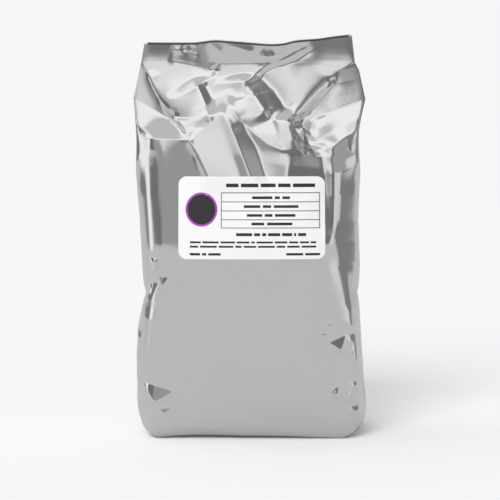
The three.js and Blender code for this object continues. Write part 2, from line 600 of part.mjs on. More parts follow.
// The label lies over the front, a glue line off it.
function labelGeometry() {
  const rise = [0, 0.24, 1, 2.4, LABEL_CORNER];
  const rows = [];
  rise.forEach((up) => rows.push(LABEL_FOOT + up));
  const inner = 10;
  for (let i = 1; i < inner; i += 1) {
    const t = i / inner;
    rows.push(mix(LABEL_FOOT + LABEL_CORNER, LABEL_HEAD - LABEL_CORNER, t));
  }
  [...rise].reverse().forEach((up) => rows.push(LABEL_HEAD - up));
  const columns = 24;
  const positions = [];
  const index = [];
  const side = (offset) => {
    const start = positions.length / 3;
    rows.forEach((z) => {
      const up = Math.min(z - LABEL_FOOT, LABEL_HEAD - z, LABEL_CORNER);
      const away = LABEL_CORNER - up;
      const cut = LABEL_CORNER - Math.sqrt(Math.max(0, LABEL_CORNER ** 2 - away ** 2));
      for (let i = 0; i <= columns; i += 1) {
        const x = mix(LABEL_LEFT + cut, LABEL_RIGHT - cut, i / columns);
        positions.push(x, -labelDepth(x, z) - offset, z);
      }
    });
    return start;
  };
  const inside = side(LABEL_GAP);
  const outside = side(LABEL_GAP + LABEL_THICKNESS);
  const wide = columns + 1;
  for (let r = 0; r + 1 < rows.length; r += 1) {
    for (let i = 0; i < columns; i += 1) {
      const a = r * wide + i;
      const b = a + 1;
      const c = b + wide;
      const d = a + wide;
      index.push(outside + a, outside + b, outside + c, outside + a, outside + c, outside + d);
      index.push(inside + a, inside + c, inside + b, inside + a, inside + d, inside + c);
    }
  }
  const rim = [];
  for (let i = 0; i < columns; i += 1) {
    rim.push(i);
  }
  for (let r = 0; r + 1 < rows.length; r += 1) {
    rim.push(r * wide + columns);
  }
  for (let i = columns; i > 0; i -= 1) {
    rim.push((rows.length - 1) * wide + i);
  }
  for (let r = rows.length - 1; r > 0; r -= 1) {
    rim.push(r * wide);
  }
  rim.forEach((a, n) => {
    const b = rim[(n + 1) % rim.length];
    index.push(inside + a, inside + b, outside + b, inside + a, outside + b, outside + a);
  });
  return { positions, index };
}

function body(name, parts, colour, metalness, shift) {
  const geometry = new THREE.BufferGeometry();
  const moved = parts.positions.map((value, i) => value + shift[i % 3]);
  geometry.setAttribute('position', new THREE.Float32BufferAttribute(moved, 3));
  geometry.setIndex(parts.index);
  geometry.computeVertexNormals();
  const material = new THREE.MeshStandardMaterial({ color: colour, metalness, roughness: 0.3 });
  material.name = name;
  const mesh = new THREE.Mesh(geometry, material);
  mesh.name = name;
  return mesh;
}

const bag = bagGeometry();
const label = labelGeometry();
// The middle of the whole in x and y is the origin, and the base is at no height.
const box = new THREE.Box3().setFromArray([...bag.positions, ...label.positions]);
const shift = [-(box.min.x + box.max.x) / 2, -(box.min.y + box.max.y) / 2, -box.min.z];

const group = new THREE.Group();
group.name = 'coffee_bag';
group.add(body('bag', bag, 0xc4c6c8, 1, shift));
group.add(body('label', label, 0xf4f4f4, 0, shift));

export default group;
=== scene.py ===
"""A filled coffee bag of creased silver film with a paper label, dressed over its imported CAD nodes."""

import math

import bpy
import numpy as np
from bpy.props import FloatProperty, FloatVectorProperty, PointerProperty
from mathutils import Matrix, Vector


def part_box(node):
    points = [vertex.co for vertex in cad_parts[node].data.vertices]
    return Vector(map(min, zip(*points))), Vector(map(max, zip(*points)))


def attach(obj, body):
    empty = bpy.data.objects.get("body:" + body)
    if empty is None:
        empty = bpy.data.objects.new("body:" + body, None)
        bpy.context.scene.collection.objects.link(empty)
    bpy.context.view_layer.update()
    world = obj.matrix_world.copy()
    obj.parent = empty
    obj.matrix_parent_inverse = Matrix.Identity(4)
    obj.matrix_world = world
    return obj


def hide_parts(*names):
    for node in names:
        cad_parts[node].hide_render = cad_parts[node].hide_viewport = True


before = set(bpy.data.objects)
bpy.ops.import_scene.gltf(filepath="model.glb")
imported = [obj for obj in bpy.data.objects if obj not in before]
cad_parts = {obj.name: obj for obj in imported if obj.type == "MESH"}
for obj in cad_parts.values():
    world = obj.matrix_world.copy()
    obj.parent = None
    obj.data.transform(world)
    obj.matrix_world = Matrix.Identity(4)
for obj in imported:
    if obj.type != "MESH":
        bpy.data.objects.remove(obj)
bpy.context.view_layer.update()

bl_info = {
    "name": "Coffee bag",
    "version": (1, 0, 0),
    "blender": (4, 5, 0),
    "location": "View3D > Sidebar > Coffee bag",
    "description": "Dresses the packed coffee bag with creased film, a printed label and a studio",
    "category": "Object",
}

MM = 0.001
BAG_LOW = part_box("bag")[0]

# Heights in millimetres of the sealed strip.
SEAL_FOOT = 248.5
SEAL_HEAD = 261.5
# Where the faces begin to act as one sheet, and over what height.
JOIN_START, JOIN_HEIGHT = 240.5, 7
# Share of its path over which a fold rises at its start and dies away at its end.
FOLD_END = 0.22
# Share of each fold that still shows under the label.
FOLD_UNDER_LABEL = 0.2
LABEL_LEFT, LABEL_RIGHT, LABEL_FOOT, LABEL_HEAD = -46.5, 49, 119.5, 173
LABEL_CORNER = 5.3
# How far in from the label's rim the folds are down to that share.
LABEL_MARGIN = 16
# Width of the folds that the label bridges.
LABEL_BRIDGE = 2
# The label's skin: gap of glue under it, and its thickness.
LABEL_GAP, LABEL_THICKNESS = 0.45, 0.3
# Rings of points in the base, by how far each is in from its rim; inside the first one it is level.
BASE_RIMS = (12, 8, 5, 2.5)
BASE_HALF_WIDTH, BASE_HALF_DEPTH = 66, 34

# Long edges of the bag from the base to the head of the seal. Each row is a level and the x, y and z there;
# z is left out where it is the level itself.
FRONT_LEFT = [
    (0, -62, -31), (4, -65.5, -34.5), (10, -67.5, -36), (20, -68, -36.5), (50, -69, -36.5),
    (80, -67, -36), (96, -64.8, -35), (108, -66, -35), (125, -66.5, -33.5), (160, -66, -30),
    (189, -63.5, -27, 190), (197, -63.5, -24.5, 198), (211, -52.5, -12, 210), (248.5, -72.4, -1),
    (252, -71.7, -0.7), (261.5, -70, -0.6),
]
EAR_LEFT = [
    (0, -65.5, -17), (4, -69.5, -18), (8, -72, -18.5), (15, -73.4, -19), (28, -74.7, -19),
    (42, -76, -19), (56, -76, -19), (70, -74.4, -18), (83, -72.9, -18), (90, -71.9, -18),
    (96, -71.4, -18), (103, -72, -18), (116, -72.3, -18), (137, -73.5, -18), (163, -74.7, -18),
    (189, -75.6, -17, 195), (197, -76.2, -15.5, 207), (211, -77.8, -7, 225), (248.5, -72.7, -0.5),
    (252, -72, -0.35), (261.5, -70.3, -0.3),
]
FOLD_LEFT = [
    (0, -66, 0), (4, -69.5, 0), (10, -71.5, 0), (20, -73, 0), (50, -75.2, 0), (80, -72.6, 0),
    (96, -70.6, 0), (108, -71.2, 0), (125, -71.8, 0), (160, -73.4, 0), (189, -73.6, 0, 192),
    (197, -72.6, 0, 204), (211, -69, 0, 220), (230, -56, 0, 235), (248.5, -38, 0), (252, -72.1, 0),
    (261.5, -70.4, 0),
]
HIND_LEFT = [
    (0, -65.5, 17), (4, -69.3, 18), (10, -72, 18.5), (20, -73.4, 19), (42, -75.2, 19), (56, -75, 19),
    (80, -73, 18), (96, -71.4, 18), (116, -72, 18), (163, -74.4, 16), (189, -75.4, 14, 195),
    (197, -76, 11, 206), (211, -77.2, 3, 223), (248.5, -72.7, 0.5), (252, -72, 0.35),
    (261.5, -70.3, 0.3),
]
BACK_LEFT = [
    (0, -62, 31), (4, -65.5, 34.5), (10, -67.5, 36), (20, -68, 36.5), (50, -69, 36.5), (80, -67.4, 36),
    (96, -66.2, 35), (125, -66.8, 33.5), (160, -66.6, 30), (189, -66, 27, 190), (197, -64.8, 24.5, 198),
    (211, -58, 12), (248.5, -72.4, 1), (252, -71.7, 0.7), (261.5, -70, 0.6),
]
FRONT_RIGHT = [
    (0, 64, -31), (4, 68, -34.5), (10, 70.5, -36), (20, 71, -36.5), (50, 70, -36.5), (76, 68, -36.5),
    (96, 63, -36.5), (115, 58.5, -36), (130, 57, -35), (160, 57, -32), (176, 56.5, -29.5, 175),
    (184, 55, -27.5, 181), (191, 53.5, -26.7, 185), (197, 50.5, -25.5, 189.5), (204, 43, -18.8, 198),
    (211, 33, -8, 208.8), (221, 45, -6, 220.5), (234, 56.5, -4), (243, 59.5, -2.4),
    (248.5, 69.9, -1, 248.4), (252, 69.3, -0.7), (261.5, 67.7, -0.6, 261.4),
]
EAR_RIGHT = [
    (0, 67.5, -17), (4, 72, -18), (8, 75, -18.5), (15, 76.6, -19), (28, 76.4, -19), (42, 76.2, -19),
    (56, 75.4, -19), (64, 74.4, -18), (70, 73.4, -18), (83, 74, -18), (103, 73.9, -18),
    (116, 74.2, -18), (143, 73, -18), (184, 72.8, -17, 188), (191, 72.8, -16, 196),
    (197, 73, -14.5, 204), (204, 74.6, -11, 212), (211, 77.4, -5, 223.7), (243, 73, -1.6),
    (248.5, 70.2, -0.5, 248.4), (252, 69.6, -0.35), (261.5, 68, -0.3, 261.4),
]
FOLD_RIGHT = [
    (0, 68, 0), (4, 71.5, 0), (10, 74.6, 0), (20, 75.2, 0), (50, 74.6, 0), (70, 72, 0), (103, 72.6, 0),
    (125, 72.2, 0), (160, 71.2, 0), (189, 70.4, 0, 192), (197, 69.6, 0, 201), (204, 68.8, 0, 209),
    (211, 68, 0, 219), (230, 56, 0, 235), (248.5, 38, 0, 248.4), (252, 69.7, 0),
    (261.5, 68.1, 0, 261.4),
]
HIND_RIGHT = [
    (0, 67.5, 17), (4, 71.8, 18), (10, 75, 18.5), (20, 76, 19), (50, 75.2, 19), (70, 73, 18),
    (103, 73.6, 18), (125, 73, 17), (160, 72.4, 16), (189, 72.8, 14, 193), (197, 73.6, 11, 203),
    (204, 75, 7, 212), (211, 76.8, 3, 223), (248.5, 70.2, 0.5, 248.4), (252, 69.6, 0.35),
    (261.5, 68, 0.3, 261.4),
]
BACK_RIGHT = [
    (0, 64, 31), (4, 68, 34.5), (10, 70.5, 36), (20, 71, 36.5), (50, 70, 36.5), (80, 68, 36),
    (96, 68.5, 35), (125, 68.6, 33.5), (160, 68, 30), (189, 66, 27, 190), (197, 63.4, 24),
    (211, 53, 12, 210), (248.5, 69.9, 1, 248.4), (252, 69.3, 0.7), (261.5, 67.7, 0.6, 261.4),
]
EDGES = [
    [(*row, row[0])[:4] for row in edge]
    for edge in (
        FRONT_LEFT, FRONT_RIGHT, EAR_RIGHT, FOLD_RIGHT, HIND_RIGHT,
        BACK_RIGHT, BACK_LEFT, HIND_LEFT, FOLD_LEFT, EAR_LEFT,
    )
]
# Numbers of the edges at which the front and the back begin.
FRONT_FACE, BACK_FACE = 0, 5
# Rounding of those edges, as level and radius.
ROUND_SEAL = [(248.5, 0.3), (252, 0.1), (261.5, 0.1)]
ROUND_FRONT = [
    (0, 4), (10, 9), (50, 13), (80, 10), (96, 6), (108, 10), (160, 10), (184, 6), (197, 2), (211, 0.8),
    *ROUND_SEAL,
]
ROUND_FRONT_RIGHT = [
    (0, 4), (10, 9), (50, 12), (80, 9), (110, 6.5), (184, 5), (197, 2), (211, 0.8), *ROUND_SEAL,
]
ROUND_EAR = [
    (0, 6), (10, 8), (160, 8), (189, 5), (197, 3), (211, 1), (248.5, 0.2), (252, 0.1), (261.5, 0.1),
]
ROUND_FOLD = [(0, 5), (20, 4), (60, 3), (160, 2.5), (211, 1.5), *ROUND_SEAL]
ROUND_BACK = [(0, 4), (10, 9), (60, 13), (160, 11), (189, 6), (211, 2), *ROUND_SEAL]
ROUNDS = [
    ROUND_FRONT, ROUND_FRONT_RIGHT, ROUND_EAR, ROUND_FOLD, ROUND_EAR,
    ROUND_BACK, ROUND_BACK, ROUND_EAR, ROUND_FOLD, ROUND_EAR,
]
# Depth of the front and back faces by height, at the middle and near the long edges.
MIDDLE_DEPTH = [
    (0, 34), (4, 38), (12, 41), (40, 43.5), (75, 44.2), (105, 44), (125, 42.6), (150, 38.8),
    (175, 33.6), (190, 29.6), (203, 24.4), (215, 18), (226, 11.6), (236, 6), (242, 2.95),
    (245.5, 1.62), (248.5, 1.15),
]
EDGE_DEPTH = [
    (0, 31), (4, 34.5), (12, 36), (50, 36.5), (96, 35), (125, 33.5), (160, 29), (189, 25),
    (203, 20.5), (215, 15.2), (226, 10), (236, 5.6), (243, 2.8), (248.5, 1.3),
]
HALF_WIDTH = 68
CROWN_POWER = 2.8
# Largest share of a side of the section that the rounding of its edge takes.
ROUND_LIMIT = 0.45
# How far in from a long edge its own dent dies away.
DENT_REACH = 5

# Top edge of the seal, its foot, and its wave from front to back, all by x.
SEAL_EDGE = [
    (-70, 261), (-36, 261), (-30, 261.8), (-23, 262.4), (-13, 261.7), (-3, 261), (5, 260.3),
    (15, 259.8), (23, 260.4), (30, 262.2), (39, 263.1), (47, 263.8), (55, 265), (68, 266.5),
]
SEAL_FOOT_DROP = [(-72, 0), (-40, 0), (-24, 1), (0, 1), (16, 0.6), (30, 0), (70, 0)]
SEAL_WAVE = [
    (-72, 0), (-48, 0.4), (-32, -0.2), (-18, -1.6), (0, -2.2), (20, -1.8), (36, -0.2), (50, 0.4),
    (70, 0),
]
WAVE_FOOT = 220
# How far the head of the seal leans back, by x, and how much the lean is bent: 0 would be straight.
SEAL_LEAN = [
    (-72, 0.9), (-60, 1.1), (-38, 1.2), (-30, 0.8), (-22, 0), (24, 0), (34, 0.7), (44, 1.4), (70, 1.4),
]
LEAN_BEND = 0.5
# Arch of the bottom edges over the ground, by x.
FRONT_ARCH = [(-66, 0), (-50, 2.2), (-33, 3.6), (-5, 2.6), (20, 2.2), (45, 1), (66, 0)]
BACK_ARCH = [(-66, 0), (-40, 1.4), (0, 2.6), (40, 1.6), (66, 0)]
ARCH_TOP = 14
# The arch starts at this share of its span from the middle of the base, and is full one span further out.
ARCH_START, ARCH_SPAN = 0.4, 22
# Where the folds of the sides begin to die away, and over what height.
SIDE_FADE_START, SIDE_FADE_HEIGHT = 195, 25

# Folds of the front. Each row is a fold: its height, its widths to the left and right of its path, how round
# its crest is, and the path, which runs down, as x and z.
FRONT_CREASES = [
    # The big pinch under the middle of the seal, and the hollow beside it.
    (3.0, 12, 8, 0.8, (-6, 243), (-5, 234.5), (1.5, 227.5), (8, 217.5), (12, 208.5)),
    (-3.2, 8, 8, 1.0, (5, 243), (9, 238), (17, 229.5), (23, 219.5), (31.5, 211.5)),
    (
        1.8, 4.5, 10, 0.7,
        (-13.5, 232), (-14, 222), (-7, 211), (3, 201), (11, 194.5), (21, 190.5), (32, 190), (36, 194),
    ),
    (1.8, 6, 4, 0.8, (14, 208.5), (23.5, 211.5), (32, 210.5)),
    (-2.8, 1.6, 7, 0.5, (34, 210), (36, 202), (38, 195), (38, 190)),
    (-1.6, 5, 3, 0.6, (57.5, 240), (47, 226), (35.5, 212)),
    # Crumple in the middle of the seal.
    (0.4, 2, 3, 0.3, (-28, 263), (-25.5, 259), (-20.5, 255.5), (-19, 251)),
    (-0.4, 3, 1.2, 0.3, (8, 248.5), (18, 250.5), (33, 256), (40, 260)),
    (-0.3, 4.5, 1.2, 0.3, (-22, 248), (-14.5, 248.3), (-3.5, 248.3), (6, 248.5)),
    (0.3, 1.5, 3, 0.3, (-26, 245), (-10, 244.6), (8, 245.2)),
    (-0.6, 2.5, 3, 0.4, (-56.5, 249), (-40, 246), (-24.5, 242.5)),
    (0.4, 2, 2, 0.4, (40, 259.5), (26.5, 252), (16.5, 247.5), (8, 244)),
    (-0.5, 2, 2, 0.4, (45, 257), (32, 250), (20, 245), (10, 242)),
    (0.45, 3, 3, 0.8, (-54, 258.5), (-44, 255.5), (-33, 253)),
    (-0.4, 2.5, 2.5, 0.6, (-46, 259), (-41, 254.5), (-36, 259.5)),
    (0.5, 3, 3, 0.8, (-18, 260), (-8, 258), (0, 256), (-12, 254.5)),
    (0.5, 2.5, 2.5, 0.6, (6, 254.5), (12, 252.5), (17, 254)),
    (-1.6, 1.6, 1.6, 0.4, (-25.5, 246), (-22, 241.5)),
    # Slanting folds above the label.
    (
        3.0, 16, 6, 0.7,
        (-24, 226), (-18, 214.5), (-12, 204), (-5, 187), (1, 172.5), (4, 155), (6.5, 133), (7.5, 113),
    ),
    (-2.0, 6.5, 12, 1.2, (-14, 221), (-4, 207), (4, 192), (9, 174), (12, 157), (13, 138)),
    (-0.7, 14, 5, 1.6, (-22, 215), (-15, 195), (-9, 180), (-4, 162), (-1, 140)),
    (2.8, 14, 5, 0.9, (-38.5, 238), (-33, 227.5), (-28.5, 217), (-25, 206)),
    (-1.4, 4, 6, 1.2, (-31, 236), (-26, 227), (-21.5, 217.5)),
    (3.4, 4.5, 24, 0.6, (-47, 206), (-39.5, 196.5), (-34, 187), (-28, 174), (-22, 158), (-18, 145)),
    (0.9, 8, 10, 0.8, (-61, 214), (-58, 190), (-56.5, 164), (-56.5, 131.5), (-58, 113.5)),
    (2.0, 2, 6, 0.5, (-69, 245), (-64, 232.5), (-57.5, 220), (-52, 211)),
    (1.4, 11, 2, 0.4, (-76, 197.6), (-60, 197.4), (-48, 196.9), (-36, 196)),
    # Right of the label.
    (-1.8, 3, 2.6, 0.6, (77, 221), (71.5, 212.5), (66, 201), (64, 195.5), (64.5, 190), (67, 184)),
    (0.9, 3, 2.5, 0.5, (77, 223.5), (62, 219), (50, 214)),
    (1.0, 1.8, 1.8, 0.5, (49.5, 213.5), (46, 209.5), (42, 205)),
    (1.2, 6, 5, 1.2, (56, 205), (54.5, 190), (54.5, 164), (54.5, 138), (53, 117)),
    (-2.6, 14, 7, 3.0, (47, 196), (46, 188), (48.5, 172), (50, 148), (50, 128.5)),
    (1.6, 8, 12, 2.0, (27, 190), (24.5, 173), (22, 154), (21, 132)),
    # Fine lines low on both sides.
    (0.8, 2, 2.4, 0.5, (-72, 37), (-66, 25), (-64, 13)),
    (0.8, 1.6, 1.6, 0.4, (67, 69), (65, 61.5), (64.5, 55)),
    (1.0, 2.4, 2.4, 0.5, (67.5, 92), (65.5, 80), (67.5, 71)),
    (1.3, 1.6, 5, 0.5, (53, 32), (57, 29), (62.5, 27.5), (67, 28)),
    (0.8, 2.5, 2.5, 0.5, (70, 38), (67, 32.5), (65, 27)),
    (-1.3, 3, 3, 0.7, (74, 33), (71, 26), (68, 19)),
    (0.9, 1.4, 1.4, 0.4, (-68, 9), (-63, 6.5), (-60, 3.5)),
    (0.8, 1.4, 1.8, 0.4, (-70, 12.5), (-66.5, 13), (-63.5, 15)),
]
# Pressed-in places with flat facets. Each row is a dent: its depth, its deepest point and the corners of its
# outline, as x and z. First the deep pinch points of the front's upper corners.
FRONT_PITS = [
    (7.3, (-52.5, 209.8), (-51, 212.5), (-39, 196.8), (-76, 198.8)),
    (12.9, (33, 208.6), (36, 214), (25, 210.5), (33, 197), (42, 186), (54, 186)),
]
FRONT_DENTS = [
    # Low on the left.
    (-2.5, (-62.5, 24.5), (-72.5, 39), (-49, 33), (-48, 31), (-62.5, 22.5), (-66, 27)),
    (-1.3, (-57, 16.5), (-61.5, 21), (-47, 22.5), (-56.5, 15)),
    (-0.3, (-48, 35.2), (-50.5, 37), (-46, 37), (-48, 34.5)),
    # Low on the right.
    (-0.5, (52, 73.5), (48, 77), (55, 77.5), (52, 72.5)),
    (-0.5, (49, 68), (44, 71), (51.5, 71.5), (50, 67), (47, 67.5)),
    (-1.8, (59.5, 58.5), (50.5, 64.5), (64, 70), (62, 58), (58.5, 57)),
    (-3.4, (70, 49.5), (66, 57), (68.5, 71), (73, 70), (73, 50), (70, 46)),
    (-0.25, (53, 50.5), (50.5, 51.5), (55, 52.5), (54, 49.5), (51.5, 49)),
    # The crumpled corner on the left.
    (-0.9, (-62.5, 8), (-67, 11.5), (-63, 12), (-58, 7.5), (-59.5, 6), (-66, 8.5)),
    # Waist of the left edge.
    (
        2.6, (-63.5, 103.5),
        (-68, 104.5), (-65.5, 109), (-62.5, 110.5), (-60, 108.5), (-59, 103.5), (-65.5, 92),
    ),
    (1.2, (-57, 107), (-60.5, 111), (-55.5, 111), (-53.5, 108), (-57.5, 102)),
    (0.8, (-63.5, 120), (-66, 121), (-62, 123), (-58.5, 119), (-63, 116.5)),
    # Right shoulder.
    (1.0, (39.5, 202), (34.5, 207.5), (41.5, 202), (44, 197.5), (39, 199), (35, 204)),
    (-0.5, (37, 188.5), (35, 188), (37, 190), (39.5, 188.5), (37.5, 187)),
]
# Folds of the back, with paths as x and z, and of the sides, with paths as y and z.
BACK_CREASES = [
    (2.2, 12, 6, 1.4, (30, 245), (24, 222), (6, 202), (-8, 188)),
    (-2.4, 6, 8, 1.6, (22, 243), (12, 224), (2, 212)),
    (1.8, 4, 11, 0.8, (-58, 211), (-46, 194), (-38, 170)),
    (1.7, 10, 4, 0.8, (54, 210), (44, 194), (40, 166)),
    (1.3, 8, 5, 1.2, (-26, 220), (-16, 194), (-14, 158)),
    (-1.4, 4, 4, 0.8, (-60, 92), (-50, 98), (-36, 96)),
    (-1.4, 4, 4, 0.8, (62, 70), (52, 62), (46, 66)),
    (1.2, 4, 3, 0.6, (64, 34), (54, 28), (44, 31)),
    (-1.5, 4, 4, 0.8, (-66, 30), (-54, 22), (-46, 25)),
]
SIDE_CREASES = [
    (1.5, 7, 5, 0.8, (-34, 3), (-18, 20), (0, 39)),
    (1.5, 5, 7, 0.8, (34, 3), (18, 20), (0, 39)),
    (-1.2, 7, 7, 1.2, (0, 40), (1, 90), (0, 150), (0, 205)),
    (1.3, 6, 6, 1.0, (-26, 194), (-12, 174), (-2, 148)),
    (1.3, 6, 6, 1.0, (24, 196), (12, 170), (3, 144)),
    (-1.6, 5, 5, 0.8, (-30, 102), (-16, 96), (-2, 90)),
    (-1.4, 5, 5, 0.8, (28, 110), (14, 102), (2, 92)),
    (1.1, 5, 5, 1.0, (-30, 62), (-16, 70), (-3, 82)),
]
# The lap of the back seam: middle, half width, height, softness of its steps, level where it is full.
LAP = {"middle": 3, "half": 5, "height": 0.7, "step": 0.8, "full": 20}
# Levels where the film has rows of points: foot, head and number of rows of each band, and rows of the seal.
LEVEL_BANDS = [(0, 20, 20), (20, 185, 145), (185, SEAL_FOOT, 78)]
SEAL_ROWS = 18
# Columns of points across the front, across the back and from each edge of the sides to the next.
FRONT_STEPS, BACK_STEPS, EDGE_STEPS = 140, 84, 14


def read(rows, at):
    """Straight reading of a table of rows: one array for each column after the first."""
    table = np.array(rows, float)
    return [np.interp(at, table[:, 0], table[:, k]) for k in range(1, table.shape[1])]


def flow(rows, at):
    """Smooth reading of a table of pairs."""
    table = np.array(rows, float)
    x, y = table[:, 0], table[:, 1]
    at = np.clip(at, x[0], x[-1])
    i = np.clip(np.searchsorted(x, at), 1, len(x) - 1)
    low, high = np.maximum(np.arange(len(x)) - 1, 0), np.minimum(np.arange(len(x)) + 1, len(x) - 1)
    slope = (y[high] - y[low]) / (x[high] - x[low])
    span = x[i] - x[i - 1]
    t = (at - x[i - 1]) / span
    return (
        (2 * t**3 - 3 * t**2 + 1) * y[i - 1]
        + (t**3 - 2 * t**2 + t) * span * slope[i - 1]
        + (3 * t**2 - 2 * t**3) * y[i]
        + (t**3 - t**2) * span * slope[i]
    )


def ease(t):
    t = np.clip(t, 0, 1)
    return t * t * (3 - 2 * t)


def mix(a, b, t):
    return a + (b - a) * t


def fold_height(fold, a, b):
    """Height of one fold: highest on its path, dying away to either side and at its ends."""
    rise, left, right, crest, *path = fold
    count = len(path) - 1
    best = np.full(a.shape, np.inf)
    side = np.ones(a.shape)
    along = np.zeros(a.shape)
    for i in range(count):
        (ax, ay), (bx, by) = path[i], path[i + 1]
        dx, dy = bx - ax, by - ay
        t = np.clip(((a - ax) * dx + (b - ay) * dy) / (dx * dx + dy * dy), 0, 1)
        d = np.hypot(a - ax - t * dx, b - ay - t * dy)
        near = d < best
        best = np.where(near, d, best)
        side = np.where(near, dx * (b - ay) - dy * (a - ax), side)
        along = np.where(near, (i + t) / count, along)
    width = np.where(side > 0, right, left)
    end = ease(np.minimum(along, 1 - along) / FOLD_END)
    far = np.sqrt(best**2 + crest**2) - crest
    return rise * end * np.exp(-far / width)


def fold_sum(folds, a, b):
    total = np.zeros(np.shape(a))
    for fold in folds:
        total += fold_height(fold, a, b)
    return total


def dent_height(dent, a, b):
    """Height of one dent: straight facets from its outline down to its deepest point."""
    depth, (pit_x, pit_z), *corners = dent
    out = np.full(np.shape(a), -np.inf)
    for (ax, az), (bx, bz) in zip(corners, corners[1:] + corners[:1]):
        nx, nz = bz - az, ax - bx
        reach = nx * (ax - pit_x) + nz * (az - pit_z)
        out = np.maximum(out, (nx * (a - pit_x) + nz * (b - pit_z)) / reach)
    return -depth * np.maximum(0, 1 - out)


def label_mask(x, z):
    """Nothing outside the label's outline, rising to one at a margin inside it."""
    from_sides = np.minimum(x - LABEL_LEFT, LABEL_RIGHT - x)
    from_ends = np.minimum(z - LABEL_FOOT, LABEL_HEAD - z)
    return ease(np.minimum(from_sides, from_ends) / LABEL_MARGIN)


def front_folds(x, z):
    folds = fold_sum(FRONT_CREASES, x, z) * mix(1, FOLD_UNDER_LABEL, label_mask(x, z))
    return folds + sum(dent_height(dent, x, z) for dent in FRONT_DENTS)


def face_depth(x, z):
    middle = flow(MIDDLE_DEPTH, z)
    edge = flow(EDGE_DEPTH, z)
    across = np.minimum(1, np.abs(x) / HALF_WIDTH)
    return mix(edge, middle, 1 - across**CROWN_POWER)


def front_depth(x, z):
    return face_depth(x, z) + sum(dent_height(pit, x, z) for pit in FRONT_PITS)


def face_point(start, end, t, sign):
    """A point of the front or back face between its two long edges."""
    t = np.asarray(t)
    x = mix(start[:, 0], end[:, 0], t)
    z = mix(start[:, 2], end[:, 2], t)
    depth = front_depth if sign < 0 else face_depth
    start_dent = start[:, 1] - sign * depth(start[:, 0], start[:, 2])
    end_dent = end[:, 1] - sign * depth(end[:, 0], end[:, 2])
    y = sign * depth(x, z)
    y = y + start_dent * np.exp(-np.abs(x - start[:, 0]) / DENT_REACH)
    y = y + end_dent * np.exp(-np.abs(x - end[:, 0]) / DENT_REACH)
    return np.stack([x, y, z], -1)


def plain_point(corners, k, t):
    """A point of the plain section at each level, before its edges are rounded."""
    start, end = corners[:, k], corners[:, (k + 1) % corners.shape[1]]
    if k in (FRONT_FACE, BACK_FACE):
        return face_point(start, end, t, -1 if k == FRONT_FACE else 1)
    return mix(start, end, np.asarray(t)[..., None])


def section_point(corners, levels, k, t):
    """A point of the section at each level with its edges rounded."""
    count = corners.shape[1]

    def reach(n):
        return np.linalg.norm(corners[:, n % count] - corners[:, (n + 1) % count], axis=1)

    near = k if t < 0.5 else (k + 1) % count
    before = (near + count - 1) % count
    radius = read(ROUNDS[near], levels)[0]
    radius = np.minimum(np.minimum(radius, ROUND_LIMIT * reach(before)), ROUND_LIMIT * reach(near))
    length = reach(k)
    away = (t if t < 0.5 else 1 - t) * length
    plain = plain_point(corners, k, np.full(len(levels), t))
    start = plain_point(corners, before, 1 - radius / reach(before))
    end = plain_point(corners, near, radius / reach(near))
    s = (0.5 + (away if t < 0.5 else -away) / (2 * radius))[:, None]
    bent = (1 - s) ** 2 * start + 2 * s * (1 - s) * corners[:, near] + s**2 * end
    return np.where((away < radius)[:, None], bent, plain)


def column_shares(k, t):
    """How much of the front, back and side folds a column takes."""
    last = len(EDGES) - 1
    front = {FRONT_FACE: 1.0, FRONT_FACE + 1: 1 - ease(t), last: ease(t)}.get(k, 0.0)
    back = {BACK_FACE: 1.0, BACK_FACE - 1: ease(t), BACK_FACE + 1: 1 - ease(t)}.get(k, 0.0)
    return front, back, 1 - front - back


def lean_height(level):
    """How far the seal leans back at each level, from 0 at its foot to 1 at its head."""
    up = (level - SEAL_FOOT) / (SEAL_HEAD - SEAL_FOOT)
    return np.where(up > 0, up * (1 + LEAN_BEND - LEAN_BEND * up), 0)


def bag_points(levels, columns):
    """The outside of the bag in millimetres, as an array of levels by columns."""
    levels = np.asarray(levels, float)
    corners = np.stack([np.stack(read(edge, levels), -1) for edge in EDGES], 1)
    p = np.stack([section_point(corners, levels, k, t) for k, t in columns], 1)
    share = np.array([column_shares(k, t) for k, t in columns], float)
    front_share, back_share, side_share = share.T[:, None, :]
    level = levels[:, None]
    x, y, z = p[..., 0], p[..., 1], p[..., 2]
    sealed = ease((z - JOIN_START) / JOIN_HEIGHT)
    y = y - front_folds(x, z) * mix(front_share, 1, sealed)
    lap = LAP["height"] * ease((LAP["half"] - np.abs(x - LAP["middle"])) / LAP["step"] + 0.5)
    back = fold_sum(BACK_CREASES, x, z) + lap * ease(level / LAP["full"])
    y = y + back_share * (1 - sealed) * back
    side = fold_sum(SIDE_CREASES, y, z) * (1 - ease((z - SIDE_FADE_START) / SIDE_FADE_HEIGHT))
    x = x + np.where(x > 0, 1, -1) * side_share * side
    near_seal = ease((z - WAVE_FOOT) / (SEAL_FOOT - WAVE_FOOT))
    y = y + flow(SEAL_WAVE, x) * near_seal
    y = y + flow(SEAL_LEAN, x) * lean_height(level)
    drop = flow(SEAL_FOOT_DROP, x) * near_seal
    up = (level - SEAL_FOOT) / (SEAL_HEAD - SEAL_FOOT)
    head = flow(SEAL_EDGE, x) - SEAL_HEAD
    z = z + np.where(level > SEAL_FOOT, mix(-drop, head, up), -drop)
    arch = np.where(y < 0, flow(FRONT_ARCH, x), flow(BACK_ARCH, x))
    z = z + arch * ease(np.abs(y) / ARCH_SPAN - ARCH_START) * (1 - ease(level / ARCH_TOP))
    return np.stack([x, y, z], -1)


def bag_columns(front, back, side):
    """Places round the section: an edge's number and how far along to the next edge."""
    columns = []
    for k in range(len(EDGES)):
        steps = {FRONT_FACE: front, BACK_FACE: back}.get(k, side)
        columns += [(k, i / steps) for i in range(steps)]
    return columns


